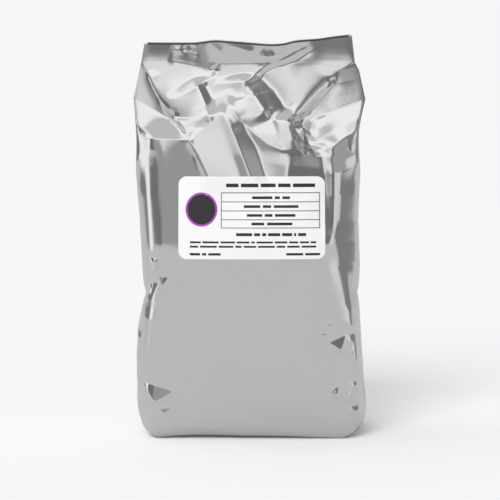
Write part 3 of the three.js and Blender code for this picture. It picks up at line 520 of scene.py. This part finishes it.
def bag_levels():
    """Levels from the base to the head of the seal, closer where the film is creased."""
    parts = [np.linspace(foot, head, rows, endpoint=False) for foot, head, rows in LEVEL_BANDS]
    return np.concatenate(parts + [np.linspace(SEAL_FOOT, SEAL_HEAD, SEAL_ROWS)])


def bag_shift(p):
    """Move that puts the bag's middle over the origin and its front where the CAD node has it."""
    low, high = p.reshape(-1, 3).min(0), p.reshape(-1, 3).max(0)
    return np.array([-(low[0] + high[0]) / 2, BAG_LOW.y / MM - low[1], -low[2]])


def label_surface(x, z):
    """Where the label lies, as y in millimetres: it bridges the narrow folds of the film."""
    reach = (-LABEL_BRIDGE, 0, LABEL_BRIDGE)
    near = [face_depth(x + dx, z + dz) + front_folds(x + dx, z + dz) for dx in reach for dz in reach]
    return -np.max(near, axis=0)


def new_object(name, data):
    obj = bpy.data.objects.new(name, data)
    bpy.context.scene.collection.objects.link(obj)
    return obj


def mesh_object(name, points, faces, smooth=True):
    """A new object from points in metres and faces of point numbers."""
    mesh = bpy.data.meshes.new(name)
    mesh.from_pydata([tuple(p) for p in points], [], faces)
    mesh.update()
    mesh.polygons.foreach_set("use_smooth", [smooth] * len(mesh.polygons))
    return new_object(name, mesh)


def grid_faces(rows, columns, wrap=True):
    """Faces between points that lie in rows and columns, closed round each row if wrap is set."""
    faces = []
    for r in range(rows - 1):
        for i in range(columns if wrap else columns - 1):
            j = (i + 1) % columns
            a, b = r * columns + i, r * columns + j
            faces.append((a, b, b + columns, a + columns))
    return faces


def zipped(points, front, back):
    """Faces between two chains of points that run side by side, stepping on whichever is behind."""
    faces = []
    f = b = 0
    while f + 1 < len(front) or b + 1 < len(back):
        front_next = points[front[f + 1]][0] if f + 1 < len(front) else np.inf
        back_next = points[back[b + 1]][0] if b + 1 < len(back) else np.inf
        if front_next <= back_next:
            face = (front[f], front[f + 1], back[b])
            f += 1
        else:
            face = (front[f], back[b + 1], back[b])
            b += 1
        if len(set(face)) == 3:
            faces.append(face)
    return faces


# Share of each colour that the film keeps where its haze is dullest.
DULL_FOIL = (0.97, 0.965, 0.95)
# Roughness of the film in its clearest and in its haziest places, against the roughness that is set.
CLEAR_SHARE, HAZE_SHARE = 0.8, 1.25


def new_material(name):
    mat = bpy.data.materials.new(name)
    mat.use_nodes = True
    return mat, mat.node_tree, mat.node_tree.nodes["Principled BSDF"]


def put(node, values):
    """Sets inputs of a node by name."""
    for name, value in values.items():
        node.inputs[name].default_value = value


def noise(tree, scale, detail):
    """A noise texture over the object, as the socket of its strength."""
    coords, texture = tree.nodes.new("ShaderNodeTexCoord"), tree.nodes.new("ShaderNodeTexNoise")
    put(texture, {"Scale": scale, "Detail": detail})
    tree.links.new(coords.outputs["Object"], texture.inputs["Vector"])
    return texture.outputs["Fac"]


def tint(tree, factor, first, second):
    """Gives the material's base a colour between two, by a factor."""
    mixed = tree.nodes.new("ShaderNodeMix")
    mixed.data_type = "RGBA"
    tree.links.new(factor, mixed.inputs[0])
    mixed.inputs[6].default_value = (*first, 1)
    mixed.inputs[7].default_value = (*second, 1)
    tree.links.new(mixed.outputs[2], tree.nodes["Principled BSDF"].inputs["Base Color"])


def foil_material(settings):
    """Bright metallised film with a faint haze and a slight warm cast where it is dull."""
    mat, tree, shader = new_material("bag_foil")
    put(shader, {"Metallic": 1.0})
    haze = noise(tree, 22, 4)
    colour = settings.foil_colour
    tint(tree, haze, [c * share for c, share in zip(colour, DULL_FOIL)], colour)
    rough = tree.nodes.new("ShaderNodeMapRange")
    low, high = settings.foil_roughness * CLEAR_SHARE, settings.foil_roughness * HAZE_SHARE
    put(rough, {"From Min": 0.3, "From Max": 0.7, "To Min": low, "To Max": high})
    tree.links.new(haze, rough.inputs["Value"])
    tree.links.new(rough.outputs["Result"], shader.inputs["Roughness"])
    ripple = tree.nodes.new("ShaderNodeBump")
    put(ripple, {"Strength": 0.12, "Distance": 0.0006})
    tree.links.new(noise(tree, 60, 3), ripple.inputs["Height"])
    tree.links.new(ripple.outputs["Normal"], shader.inputs["Normal"])
    return mat


def paper_material(settings):
    """White coated sticker stock with a soft gloss."""
    mat, tree, shader = new_material("label_paper")
    colour = settings.paper_colour
    tint(tree, noise(tree, 900, 4), [0.97 * c for c in colour], colour)
    put(shader, {"Roughness": 0.32, "Coat Weight": 0.25, "Coat Roughness": 0.15})
    return mat


def painted_shade_material():
    """Painted shade: a dark colour for the shade along the cut head of the seal, which the film itself does
    not have.
    """
    mat, tree, shader = new_material("painted_shade_edge")
    put(shader, {"Metallic": 0.6, "Roughness": 0.5})
    tint(tree, noise(tree, 350, 2), (0.015, 0.015, 0.015), (0.12, 0.12, 0.12))
    return mat


def ink_material(name, colour):
    """Printed ink, a little uneven."""
    mat, tree, shader = new_material(name)
    tint(tree, noise(tree, 1500, 2), colour, [c * 1.15 + 0.01 for c in colour])
    put(shader, {"Roughness": 0.4})
    return mat


def film_grid():
    """Points of the film in millimetres by level and column, and the move to the shared frame."""
    p = bag_points(bag_levels(), bag_columns(FRONT_STEPS, BACK_STEPS, EDGE_STEPS))
    return p, bag_shift(p)


def build_film(settings):
    """The film: its base, its wall of rows and columns, and the closed head of its seal."""
    p, shift = film_grid()
    foot = p[0]
    rims = []
    for inset in BASE_RIMS:
        lift = (1 - inset / BASE_RIMS[0]) ** 2
        rims.append(foot * [1 - inset / BASE_HALF_WIDTH, 1 - inset / BASE_HALF_DEPTH, lift])
    full = np.concatenate([np.array(rims), p])
    count = full.shape[1]
    faces = grid_faces(full.shape[0], count)
    points = np.concatenate([full.reshape(-1, 3), [[0, 0, 0]]])
    hub = len(points) - 1
    faces += [(hub, (i + 1) % count, i) for i in range(count)]
    top = (full.shape[0] - 1) * count
    # The columns of the side folds, where the front's chain of points meets the back's.
    right = FRONT_STEPS + 2 * EDGE_STEPS
    left = FRONT_STEPS + BACK_STEPS + 6 * EDGE_STEPS
    front = [top + i % count for i in range(left, count + right + 1)]
    back = [top + i for i in range(left, right - 1, -1)]
    faces += zipped(points, front, back)
    obj = mesh_object("bag_film", (points + shift) * MM, faces)
    obj.data.materials.append(foil_material(settings))
    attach(obj, "root")
    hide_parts("bag")


def tooth_nodes(mat):
    """Node group that sets small teeth along a line and joins them to one mesh."""
    group = bpy.data.node_groups.new("crimp_teeth", "GeometryNodeTree")
    face = group.interface
    face.new_socket("Geometry", in_out="INPUT", socket_type="NodeSocketGeometry")
    for name, value in (("Pitch", 0.0015), ("Height", 0.0008), ("Thickness", 0.0007)):
        socket = face.new_socket(name, in_out="INPUT", socket_type="NodeSocketFloat")
        socket.default_value = value
    face.new_socket("Geometry", in_out="OUTPUT", socket_type="NodeSocketGeometry")
    node, link = group.nodes.new, group.links.new
    start, end = node("NodeGroupInput"), node("NodeGroupOutput")
    curve = node("GeometryNodeMeshToCurve")
    points = node("GeometryNodeCurveToPoints")
    points.mode = "LENGTH"
    cone = node("GeometryNodeMeshCone")
    put(cone, {"Vertices": 4, "Radius Top": 0.0001})
    instances = node("GeometryNodeInstanceOnPoints")
    realize = node("GeometryNodeRealizeInstances")
    paint = node("GeometryNodeSetMaterial")
    put(paint, {"Material": mat})
    link(start.outputs["Geometry"], curve.inputs["Mesh"])
    link(curve.outputs["Curve"], points.inputs["Curve"])
    link(start.outputs["Pitch"], points.inputs["Length"])
    link(points.outputs["Points"], instances.inputs["Points"])
    link(start.outputs["Height"], cone.inputs["Depth"])
    link(start.outputs["Thickness"], cone.inputs["Radius Bottom"])
    link(cone.outputs["Mesh"], instances.inputs["Instance"])
    link(instances.outputs["Instances"], realize.inputs["Geometry"])
    link(realize.outputs["Geometry"], paint.inputs["Geometry"])
    link(paint.outputs["Geometry"], end.inputs["Geometry"])
    return group


# The dark strip of painted shade along the cut head, in millimetres: how far it wraps over the film, its
# height, its ends and its steps.
SHADE_WRAP, SHADE_HEIGHT = 0.15, 0.9
CUT_LEFT, CUT_RIGHT, CUT_STEP = -68, 66.5, 0.5
# The first column that the strip reads its back from; further right it keeps that column's depth.
CUT_BACK = FRONT_STEPS + 5 * EDGE_STEPS


def build_crimp(settings):
    """The dark strip of painted shade along the head of the seal, and its teeth, which carry the same painted
    shade.
    """
    p, shift = film_grid()
    head = p[-1]
    x = np.arange(CUT_LEFT, CUT_RIGHT, CUT_STEP)
    front = head[:FRONT_STEPS]
    back = head[CUT_BACK : CUT_BACK + BACK_STEPS]
    front, back = front[np.argsort(front[:, 0])], back[np.argsort(back[:, 0])]
    near = np.interp(x, front[:, 0], front[:, 1]) - SHADE_WRAP
    far = np.interp(x, back[:, 0], back[:, 1]) + SHADE_WRAP
    z = np.interp(x, front[:, 0], front[:, 2])
    ring = [(near, z - SHADE_HEIGHT), (near, z + SHADE_WRAP), (far, z + SHADE_WRAP), (far, z - SHADE_HEIGHT)]
    strip = np.stack([np.stack([x, side, height], -1) for side, height in ring], 1)
    faces = grid_faces(len(x), 4) + [(3, 2, 1, 0), tuple(4 * len(x) - 4 + i for i in range(4))]
    # Painted shade: the strip and the teeth take a dark colour that stands for the shade along the head of
    # the seal.
    cut = painted_shade_material()
    band = mesh_object("seal_painted_shade", (strip.reshape(-1, 3) + shift) * MM, faces, smooth=False)
    band.data.materials.append(cut)
    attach(band, "root")
    line = (np.stack([x, (near + far) / 2, z], -1) + shift) * MM
    mesh = bpy.data.meshes.new("crimp_line")
    mesh.from_pydata([tuple(q) for q in line], [(i, i + 1) for i in range(len(line) - 1)], [])
    source = new_object("crimp_line", mesh)
    modifier = source.modifiers.new("teeth", "NODES")
    group = tooth_nodes(cut)
    modifier.node_group = group
    values = {"Pitch": settings.tooth_pitch, "Height": settings.tooth_height}
    for item in group.interface.items_tree:
        if item.in_out == "INPUT" and item.name in values:
            modifier[item.identifier] = values[item.name]
    bpy.context.view_layer.update()
    evaluated = source.evaluated_get(bpy.context.evaluated_depsgraph_get())
    made = bpy.data.meshes.new_from_object(evaluated)
    # The teeth keep the dark colour of painted shade.
    made.materials.clear()
    made.materials.append(cut)
    made.polygons.foreach_set("material_index", [0] * len(made.polygons))
    obj = new_object("seal_teeth", made)
    bpy.data.objects.remove(source)
    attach(obj, "root")


# Sharpest turn in degrees between two faces of a skin that are shaded as one.
SMOOTH_ANGLE = 40


def skin(outline_rows, front, back):
    """A thin closed skin over the film: its points and faces, from rows of x and z and how far off it is."""
    x, z = np.array(outline_rows).transpose(1, 0, 2)
    base = label_surface(x, z)
    rows, columns = x.shape
    outer = np.stack([x, base - front, z], -1).reshape(-1, 3)
    inner = np.stack([x, base - back, z], -1).reshape(-1, 3)
    faces = grid_faces(rows, columns, wrap=False)
    under = rows * columns
    faces += [tuple(under + i for i in reversed(face)) for face in faces]
    rim = list(range(columns))
    rim += [r * columns + columns - 1 for r in range(1, rows)]
    rim += [(rows - 1) * columns + i for i in range(columns - 2, -1, -1)]
    rim += [r * columns for r in range(rows - 2, 0, -1)]
    for i, a in enumerate(rim):
        b = rim[(i + 1) % len(rim)]
        faces.append((b, a, under + a, under + b))
    return np.concatenate([outer, inner]), faces


def skin_object(name, skins, mat):
    """One object of all the given skins."""
    faces, start = [], 0
    for points, part_faces in skins:
        faces += [tuple(start + i for i in face) for face in part_faces]
        start += len(points)
    points = (np.concatenate([part[0] for part in skins]) + film_grid()[1]) * MM
    obj = mesh_object(name, points, faces)
    obj.data.set_sharp_from_angle(angle=math.radians(SMOOTH_ANGLE))
    obj.data.materials.append(mat)
    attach(obj, "root")
    return obj


# Rows of points through each pair of round corners of the label, even rows over its whole height, how many of
# those are left out at each end, and its columns.
CORNER_ROWS, LABEL_ROWS, END_ROWS, LABEL_COLUMNS = 13, 44, 6, 97


def label_rows():
    """Rows of x and z that fill the label's outline with its round corners."""
    rows = []
    turn = (1 - np.cos(np.linspace(0, 1, CORNER_ROWS) * math.pi / 2)) * LABEL_CORNER
    middle = np.linspace(LABEL_FOOT, LABEL_HEAD, LABEL_ROWS)[END_ROWS:-END_ROWS]
    heights = np.concatenate([LABEL_FOOT + turn, middle, LABEL_HEAD - turn[::-1]])
    for z in np.unique(np.round(heights, 4)):
        away = max(0, LABEL_CORNER - min(z - LABEL_FOOT, LABEL_HEAD - z))
        cut = LABEL_CORNER - math.sqrt(max(0.01, LABEL_CORNER**2 - away**2))
        x = np.linspace(LABEL_LEFT + cut, LABEL_RIGHT - cut, LABEL_COLUMNS)
        rows.append((x, np.full(LABEL_COLUMNS, z)))
    return rows


def build_label(settings):
    """The label's stock, a skin over the film."""
    paper = skin(label_rows(), LABEL_GAP + LABEL_THICKNESS, LABEL_GAP)
    obj = skin_object("label_paper", [paper], paper_material(settings))
    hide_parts("label")


# Steps in millimetres between the points of a printed bar, and rows and columns of a disc.
BAR_STEP = 1.2
DISC_ROWS, DISC_COLUMNS = 33, 25


def bar_rows(left, right, foot, head):
    """Rows of x and z that fill a bar."""
    columns = max(3, int((right - left) / BAR_STEP) + 2)
    rows = max(2, int((head - foot) / BAR_STEP) + 2)
    x = np.linspace(left, right, columns)
    return [(x, np.full(columns, z)) for z in np.linspace(foot, head, rows)]


def disc_rows(middle_x, middle_z, half_x, half_z):
    """Rows of x and z that fill a disc."""
    rows = []
    for turn in np.linspace(-math.pi / 2, math.pi / 2, DISC_ROWS):
        reach = max(0.02, math.cos(turn)) * half_x
        x = np.linspace(middle_x - reach, middle_x + reach, DISC_COLUMNS)
        rows.append((x, np.full(DISC_COLUMNS, middle_z + math.sin(turn) * half_z)))
    return rows


# Bars that stand for lines of text: middle height, height of the bars, left, right, lengths of the words.
TEXT_LINES = [
    (167.2, 2.3, -15.5, 42.5, (5, 7, 6, 5, 9)),
    (159.2, 1.7, 1.5, 26, (8, 2, 3)),
    (153.5, 1.7, -4, 31.5, (6, 3, 9)),
    (147.8, 1.7, -2, 29.5, (6, 3, 8)),
    (142.3, 1.7, 1, 27.5, (4, 8)),
    (135.4, 1.9, -9, 36.5, (8, 3, 2, 6, 5, 1, 4)),
    (130.4, 1.2, -39, 43, (6, 9, 8, 7, 2, 9, 7, 5, 5, 3)),
    (127.6, 1.2, -39, 43, (4, 8, 7, 3, 6, 8, 4, 6, 7)),
    (122.7, 1.5, -39, -19, (5, 2, 6)),
    (122.7, 1.5, 23.5, 45.5, (8, 7)),
]
# The ruled table: its sides, the heights of its level lines, and how wide its lines are.
TABLE_LEFT, TABLE_RIGHT = -18.6, 45.4
TABLE_LINES = (162.4, 156.5, 150.7, 145, 139.7)
TABLE_LINE = 0.45
# The round badge: its middle, half its width, its height against its width, and the width of its rim.
BADGE_X, BADGE_Z, BADGE_HALF, BADGE_STRETCH, BADGE_RIM = -31.5, 151.6, 10.4, 1.06, 1.3
# How far off the film the ink's front and back are.
INK_FRONT = LABEL_GAP + LABEL_THICKNESS + 0.06
INK_BACK = LABEL_GAP + LABEL_THICKNESS - 0.05
# How much higher the badge's dark field is than its coloured rim.
INK_STEP = 0.04


def word_rows():
    """The bars of all the lines of text."""
    bars = []
    for z, high, left, right, words in TEXT_LINES:
        unit = (right - left) / (sum(words) + len(words) - 1)
        start = left
        for length in words:
            end = start + length * unit
            bars.append(bar_rows(start, end, z - high / 2, z + high / 2))
            start = end + unit
    return bars


def table_rows():
    """The ruled lines of the table; the level ones end where the upright ones begin."""
    half = TABLE_LINE / 2
    left, right = TABLE_LEFT + half, TABLE_RIGHT - half
    lines = [bar_rows(left, right, z - half, z + half) for z in TABLE_LINES]
    foot, head = TABLE_LINES[-1] - half, TABLE_LINES[0] + half
    return lines + [bar_rows(x - half, x + half, foot, head) for x in (TABLE_LEFT, TABLE_RIGHT)]


def build_print(settings):
    """The bars, the table and the badge: one object for each field of print."""
    dark = ink_material("dark_ink", settings.ink_colour)
    badge = ink_material("badge_ink", settings.badge_colour)
    tall = BADGE_HALF * BADGE_STRETCH
    ring = disc_rows(BADGE_X, BADGE_Z, BADGE_HALF, tall)
    disc = disc_rows(BADGE_X, BADGE_Z, BADGE_HALF - BADGE_RIM, tall - BADGE_RIM)
    fields = (
        ("print_words", word_rows(), dark, 0),
        ("print_table", table_rows(), dark, 0),
        ("print_badge_rim", [ring], badge, 0),
        ("print_badge", [disc], dark, INK_STEP),
    )
    for name, parts, mat, lift in fields:
        obj = skin_object(name, [skin(rows, INK_FRONT + lift, INK_BACK) for rows in parts], mat)


# Tone of the studio where it has no panel, tone of the backdrop as the camera sees it, and the rise in
# degrees above which the ceiling panels show.
ROOM = 0.17
BACKDROP = 0.925
CEILING_RISE = 8
# Studio round the bag. A ring panel is given by turn and rise in degrees, seen from the bag: turns are from
# the camera's side, + to the right, and rises are over the horizon. A ceiling panel is given by its place
# in a plane one unit overhead: to the right, and away from the camera.
# Each panel: name, kind, first range, second range, softness of the sides and of the two ends of the second
# range, brightness.
PANELS = [
    ("low wall", "ring", (-185, 185), (-90, 7), (4, 3, 3), 0.56),
    ("left edge", "ring", (-150, -97), (-4, 60), (6, 3, 5), 0.2),
    ("left strip", "ring", (-93, -76), (-6, 44), (6, 8, 6), 0.95),
    ("right edge", "ring", (76, 108), (-0.5, 60), (5, 2, 5), 0.22),
    ("right low", "ring", (108, 150), (-90, 34), (6, 3, 5), 0.5),
    ("right strip", "ring", (40, 70), (3, 34), (8, 6, 6), 0.7),
    ("front ceiling", "ceiling", (-2.2, 0.28), (-3.4, -0.3), (0.45, 2.2, 0.5), 0.84),
    ("left fade", "ceiling", (-3.5, -0.35), (-4.0, 0), (1.0, 2.2, 0.5), 0.47),
    ("left shade", "ring", (-70, -9), (7, 27), (12, 3, 4), 0.33),
    ("left band", "ring", (-72, -42), (4, 32), (8, 3, 5), 0.17),
    ("right fade", "ceiling", (0.75, 3.0), (-1.6, -0.45), (0.5, 0.5, 0.3), 0.36),
    ("front box", "ceiling", (-0.5, 0.45), (-0.68, -0.3), (0.25, 0.15, 0.12), 0.96),
    ("overhead", "ceiling", (-0.45, 0.3), (-0.26, 0.9), (0.3, 0.1, 0.4), 0.56),
    ("left box", "ceiling", (-2.4, -0.3), (-0.4, 1.4), (0.25, 0.3, 0.3), 0.95),
    ("rear ceiling", "ceiling", (-0.9, 0.9), (1.0, 2.4), (0.3, 0.4, 0.4), 0.85),
]


def build_world():
    """The studio's panels as tones of the world, laid one over another in their order, and the backdrop."""
    world = bpy.data.worlds.new("studio")
    bpy.context.scene.world = world
    world.use_nodes = True
    tree = world.node_tree
    tree.nodes.clear()
    link, node = tree.links.new, tree.nodes.new
    coords, split = node("ShaderNodeTexCoord"), node("ShaderNodeSeparateXYZ")
    link(coords.outputs["Generated"], split.inputs[0])
    right, away, up = split.outputs

    def feed(socket, value):
        if isinstance(value, (int, float)):
            socket.default_value = value
        else:
            link(value, socket)

    def calculate(operation, *values):
        n = node("ShaderNodeMath")
        n.operation = operation
        for socket, value in zip(n.inputs, values):
            feed(socket, value)
        return n.outputs[0]

    def step(value, low, high, start, end):
        n = node("ShaderNodeMapRange")
        n.interpolation_type = "SMOOTHSTEP"
        put(n, {"From Min": low, "From Max": high, "To Min": start, "To Max": end})
        link(value, n.inputs["Value"])
        return n.outputs["Result"]

    def band(value, low, high, low_soft, high_soft):
        rising = step(value, low - low_soft / 2, low + low_soft / 2, 0, 1)
        falling = step(value, high - high_soft / 2, high + high_soft / 2, 1, 0)
        return calculate("MULTIPLY", rising, falling)

    def blend(factor, a, b):
        n = node("ShaderNodeMix")
        n.data_type = "FLOAT"
        link(factor, n.inputs[0])
        feed(n.inputs[2], a)
        feed(n.inputs[3], b)
        return n.outputs[0]

    toward = calculate("MULTIPLY", away, -1.0)
    turn = calculate("MULTIPLY", calculate("ARCTAN2", right, toward), 180 / math.pi)
    rise = calculate("MULTIPLY", calculate("ARCSINE", up), 180 / math.pi)
    height = calculate("MAXIMUM", up, 0.01)
    over_right, over_away = calculate("DIVIDE", right, height), calculate("DIVIDE", away, height)
    overhead = band(rise, CEILING_RISE, 100, 2, 2)
    tone = ROOM
    for name, kind, first, second, (side, near, far), value in PANELS:
        across, along = (turn, rise) if kind == "ring" else (over_right, over_away)
        mask = calculate("MULTIPLY", band(across, *first, side, side), band(along, *second, near, far))
        if kind == "ceiling":
            mask = calculate("MULTIPLY", mask, overhead)
        tone = blend(mask, tone, value)
        tone.node.label = name
    seen = node("ShaderNodeLightPath")
    back, out = node("ShaderNodeBackground"), node("ShaderNodeOutputWorld")
    link(blend(seen.outputs["Is Camera Ray"], tone, BACKDROP), back.inputs["Color"])
    link(back.outputs[0], out.inputs[0])


# Tone of the floor as the bag mirrors it, its tone as the camera sees it, and the glow seen over that.
FLOOR_MIRRORED, FLOOR_SEEN, FLOOR_GLOW = 0.62, 0.95, 0.095
# Corners of the floor in metres.
FLOOR = [(-6, -6, 0), (6, -6, 0), (6, 9, 0), (-6, 9, 0)]
# The key light: where it is in metres, and its width in degrees. It isn't seen in the film.
KEY_PLACE, KEY_ANGLE = (-0.8, -2.2, 1.6), 35
# The camera: how far it looks down in degrees, how far it is from its target, and the target's y and z.
PITCH, DISTANCE, TARGET_Y, TARGET_Z = 4, 1.15, -0.012, 0.1233


def build_stage(settings):
    """The floor, the studio, the key light and the camera."""
    floor = mesh_object("floor", FLOOR, [(0, 1, 2, 3)])
    mat, tree, shader = new_material("floor_paint")
    put(shader, {"Roughness": 0.9, "Emission Color": (1, 1, 1, 1)})
    seen = tree.nodes.new("ShaderNodeLightPath").outputs["Is Camera Ray"]
    tint(tree, seen, [FLOOR_MIRRORED] * 3, [FLOOR_SEEN] * 3)
    glow = tree.nodes.new("ShaderNodeMath")
    glow.operation = "MULTIPLY"
    glow.inputs[1].default_value = FLOOR_GLOW
    tree.links.new(seen, glow.inputs[0])
    tree.links.new(glow.outputs[0], shader.inputs["Emission Strength"])
    floor.data.materials.append(mat)
    build_world()
    data = bpy.data.lights.new("key", "SUN")
    data.energy = settings.key_power
    data.angle = math.radians(KEY_ANGLE)
    key = new_object("key", data)
    key.location = KEY_PLACE
    key.rotation_euler = (-Vector(KEY_PLACE)).to_track_quat("-Z", "Y").to_euler()
    key.visible_glossy = False
    data = bpy.data.cameras.new("camera")
    data.lens, data.sensor_width = 124.2, 36
    camera = new_object("camera", data)
    pitch = math.radians(PITCH)
    camera.location = (0, TARGET_Y - DISTANCE * math.cos(pitch), TARGET_Z + DISTANCE * math.sin(pitch))
    camera.rotation_euler = (math.pi / 2 - pitch, 0, 0)
    bpy.context.scene.camera = camera
    bpy.context.scene.view_settings.view_transform = "Standard"


COLOUR = {"subtype": "COLOR", "size": 3, "min": 0, "max": 1}
LENGTH = {"subtype": "DISTANCE", "unit": "LENGTH"}


class CoffeeBagSettings(bpy.types.PropertyGroup):
    """Sizes and colours of the coffee bag that a user would change."""

    foil_colour: FloatVectorProperty(
        name="Foil colour", description="Colour of the metallised film", default=(0.87, 0.87, 0.87), **COLOUR,
    )
    foil_roughness: FloatProperty(
        name="Foil roughness", description="How blurred the film's reflections are",
        min=0.02, max=0.6, default=0.11,
    )
    paper_colour: FloatVectorProperty(
        name="Paper colour", description="Colour of the label's stock", default=(0.93, 0.93, 0.94), **COLOUR,
    )
    ink_colour: FloatVectorProperty(
        name="Ink colour", description="Colour of the label's bars and table",
        default=(0.02, 0.02, 0.022), **COLOUR,
    )
    badge_colour: FloatVectorProperty(
        name="Badge colour", description="Colour of the round field on the label",
        default=(0.42, 0.05, 0.5), **COLOUR,
    )
    tooth_pitch: FloatProperty(
        name="Tooth pitch", description="Distance between the teeth of the cut edge",
        min=0.0005, max=0.005, default=0.0015, **LENGTH,
    )
    tooth_height: FloatProperty(
        name="Tooth height", description="Height of the teeth of the cut edge",
        min=0.0002, max=0.003, default=0.0009, **LENGTH,
    )
    key_power: FloatProperty(
        name="Key light", description="Strength of the soft key light", min=0, max=20, default=2.0,
    )


class PieceOperator:
    """What the operators share: each builds its piece from the scene's settings."""

    bl_options = {"REGISTER", "UNDO"}

    def execute(self, context):
        self.build(context.scene.coffee_bag)
        return {"FINISHED"}


class COFFEEBAG_OT_film(PieceOperator, bpy.types.Operator):
    """Build the creased film of the bag"""

    bl_idname = "coffeebag.film"
    bl_label = "Film"
    build = staticmethod(build_film)


class COFFEEBAG_OT_teeth(PieceOperator, bpy.types.Operator):
    """Build the teeth of the seal's cut edge"""

    bl_idname = "coffeebag.teeth"
    bl_label = "Seal teeth"
    build = staticmethod(build_crimp)


class COFFEEBAG_OT_label(PieceOperator, bpy.types.Operator):
    """Build the paper label"""

    bl_idname = "coffeebag.label"
    bl_label = "Label"
    build = staticmethod(build_label)


class COFFEEBAG_OT_print(PieceOperator, bpy.types.Operator):
    """Build the fields of print on the label"""

    bl_idname = "coffeebag.print"
    bl_label = "Print"
    build = staticmethod(build_print)


class COFFEEBAG_OT_stage(PieceOperator, bpy.types.Operator):
    """Build the floor, the studio light and the camera"""

    bl_idname = "coffeebag.stage"
    bl_label = "Stage"
    build = staticmethod(build_stage)


OPERATORS = (
    COFFEEBAG_OT_film, COFFEEBAG_OT_teeth, COFFEEBAG_OT_label, COFFEEBAG_OT_print, COFFEEBAG_OT_stage,
)


class COFFEEBAG_PT_panel(bpy.types.Panel):
    """Lists the builders and the sizes and colours that they use"""

    bl_idname = "COFFEEBAG_PT_panel"
    bl_label = "Coffee bag"
    bl_space_type = "VIEW_3D"
    bl_region_type = "UI"
    bl_category = "Coffee bag"

    def draw(self, context):
        for operator in OPERATORS:
            self.layout.operator(operator.bl_idname)
        for name in CoffeeBagSettings.__annotations__:
            self.layout.prop(context.scene.coffee_bag, name)


CLASSES = (CoffeeBagSettings, *OPERATORS, COFFEEBAG_PT_panel)


def register():
    for cls in CLASSES:
        bpy.utils.register_class(cls)
    bpy.types.Scene.coffee_bag = PointerProperty(type=CoffeeBagSettings)


def unregister():
    del bpy.types.Scene.coffee_bag
    for cls in reversed(CLASSES):
        bpy.utils.unregister_class(cls)


def main():
    register()
    bpy.ops.coffeebag.film()
    bpy.ops.coffeebag.teeth()
    bpy.ops.coffeebag.label()
    bpy.ops.coffeebag.print()
    bpy.ops.coffeebag.stage()


if __name__ == "__main__":
    main()
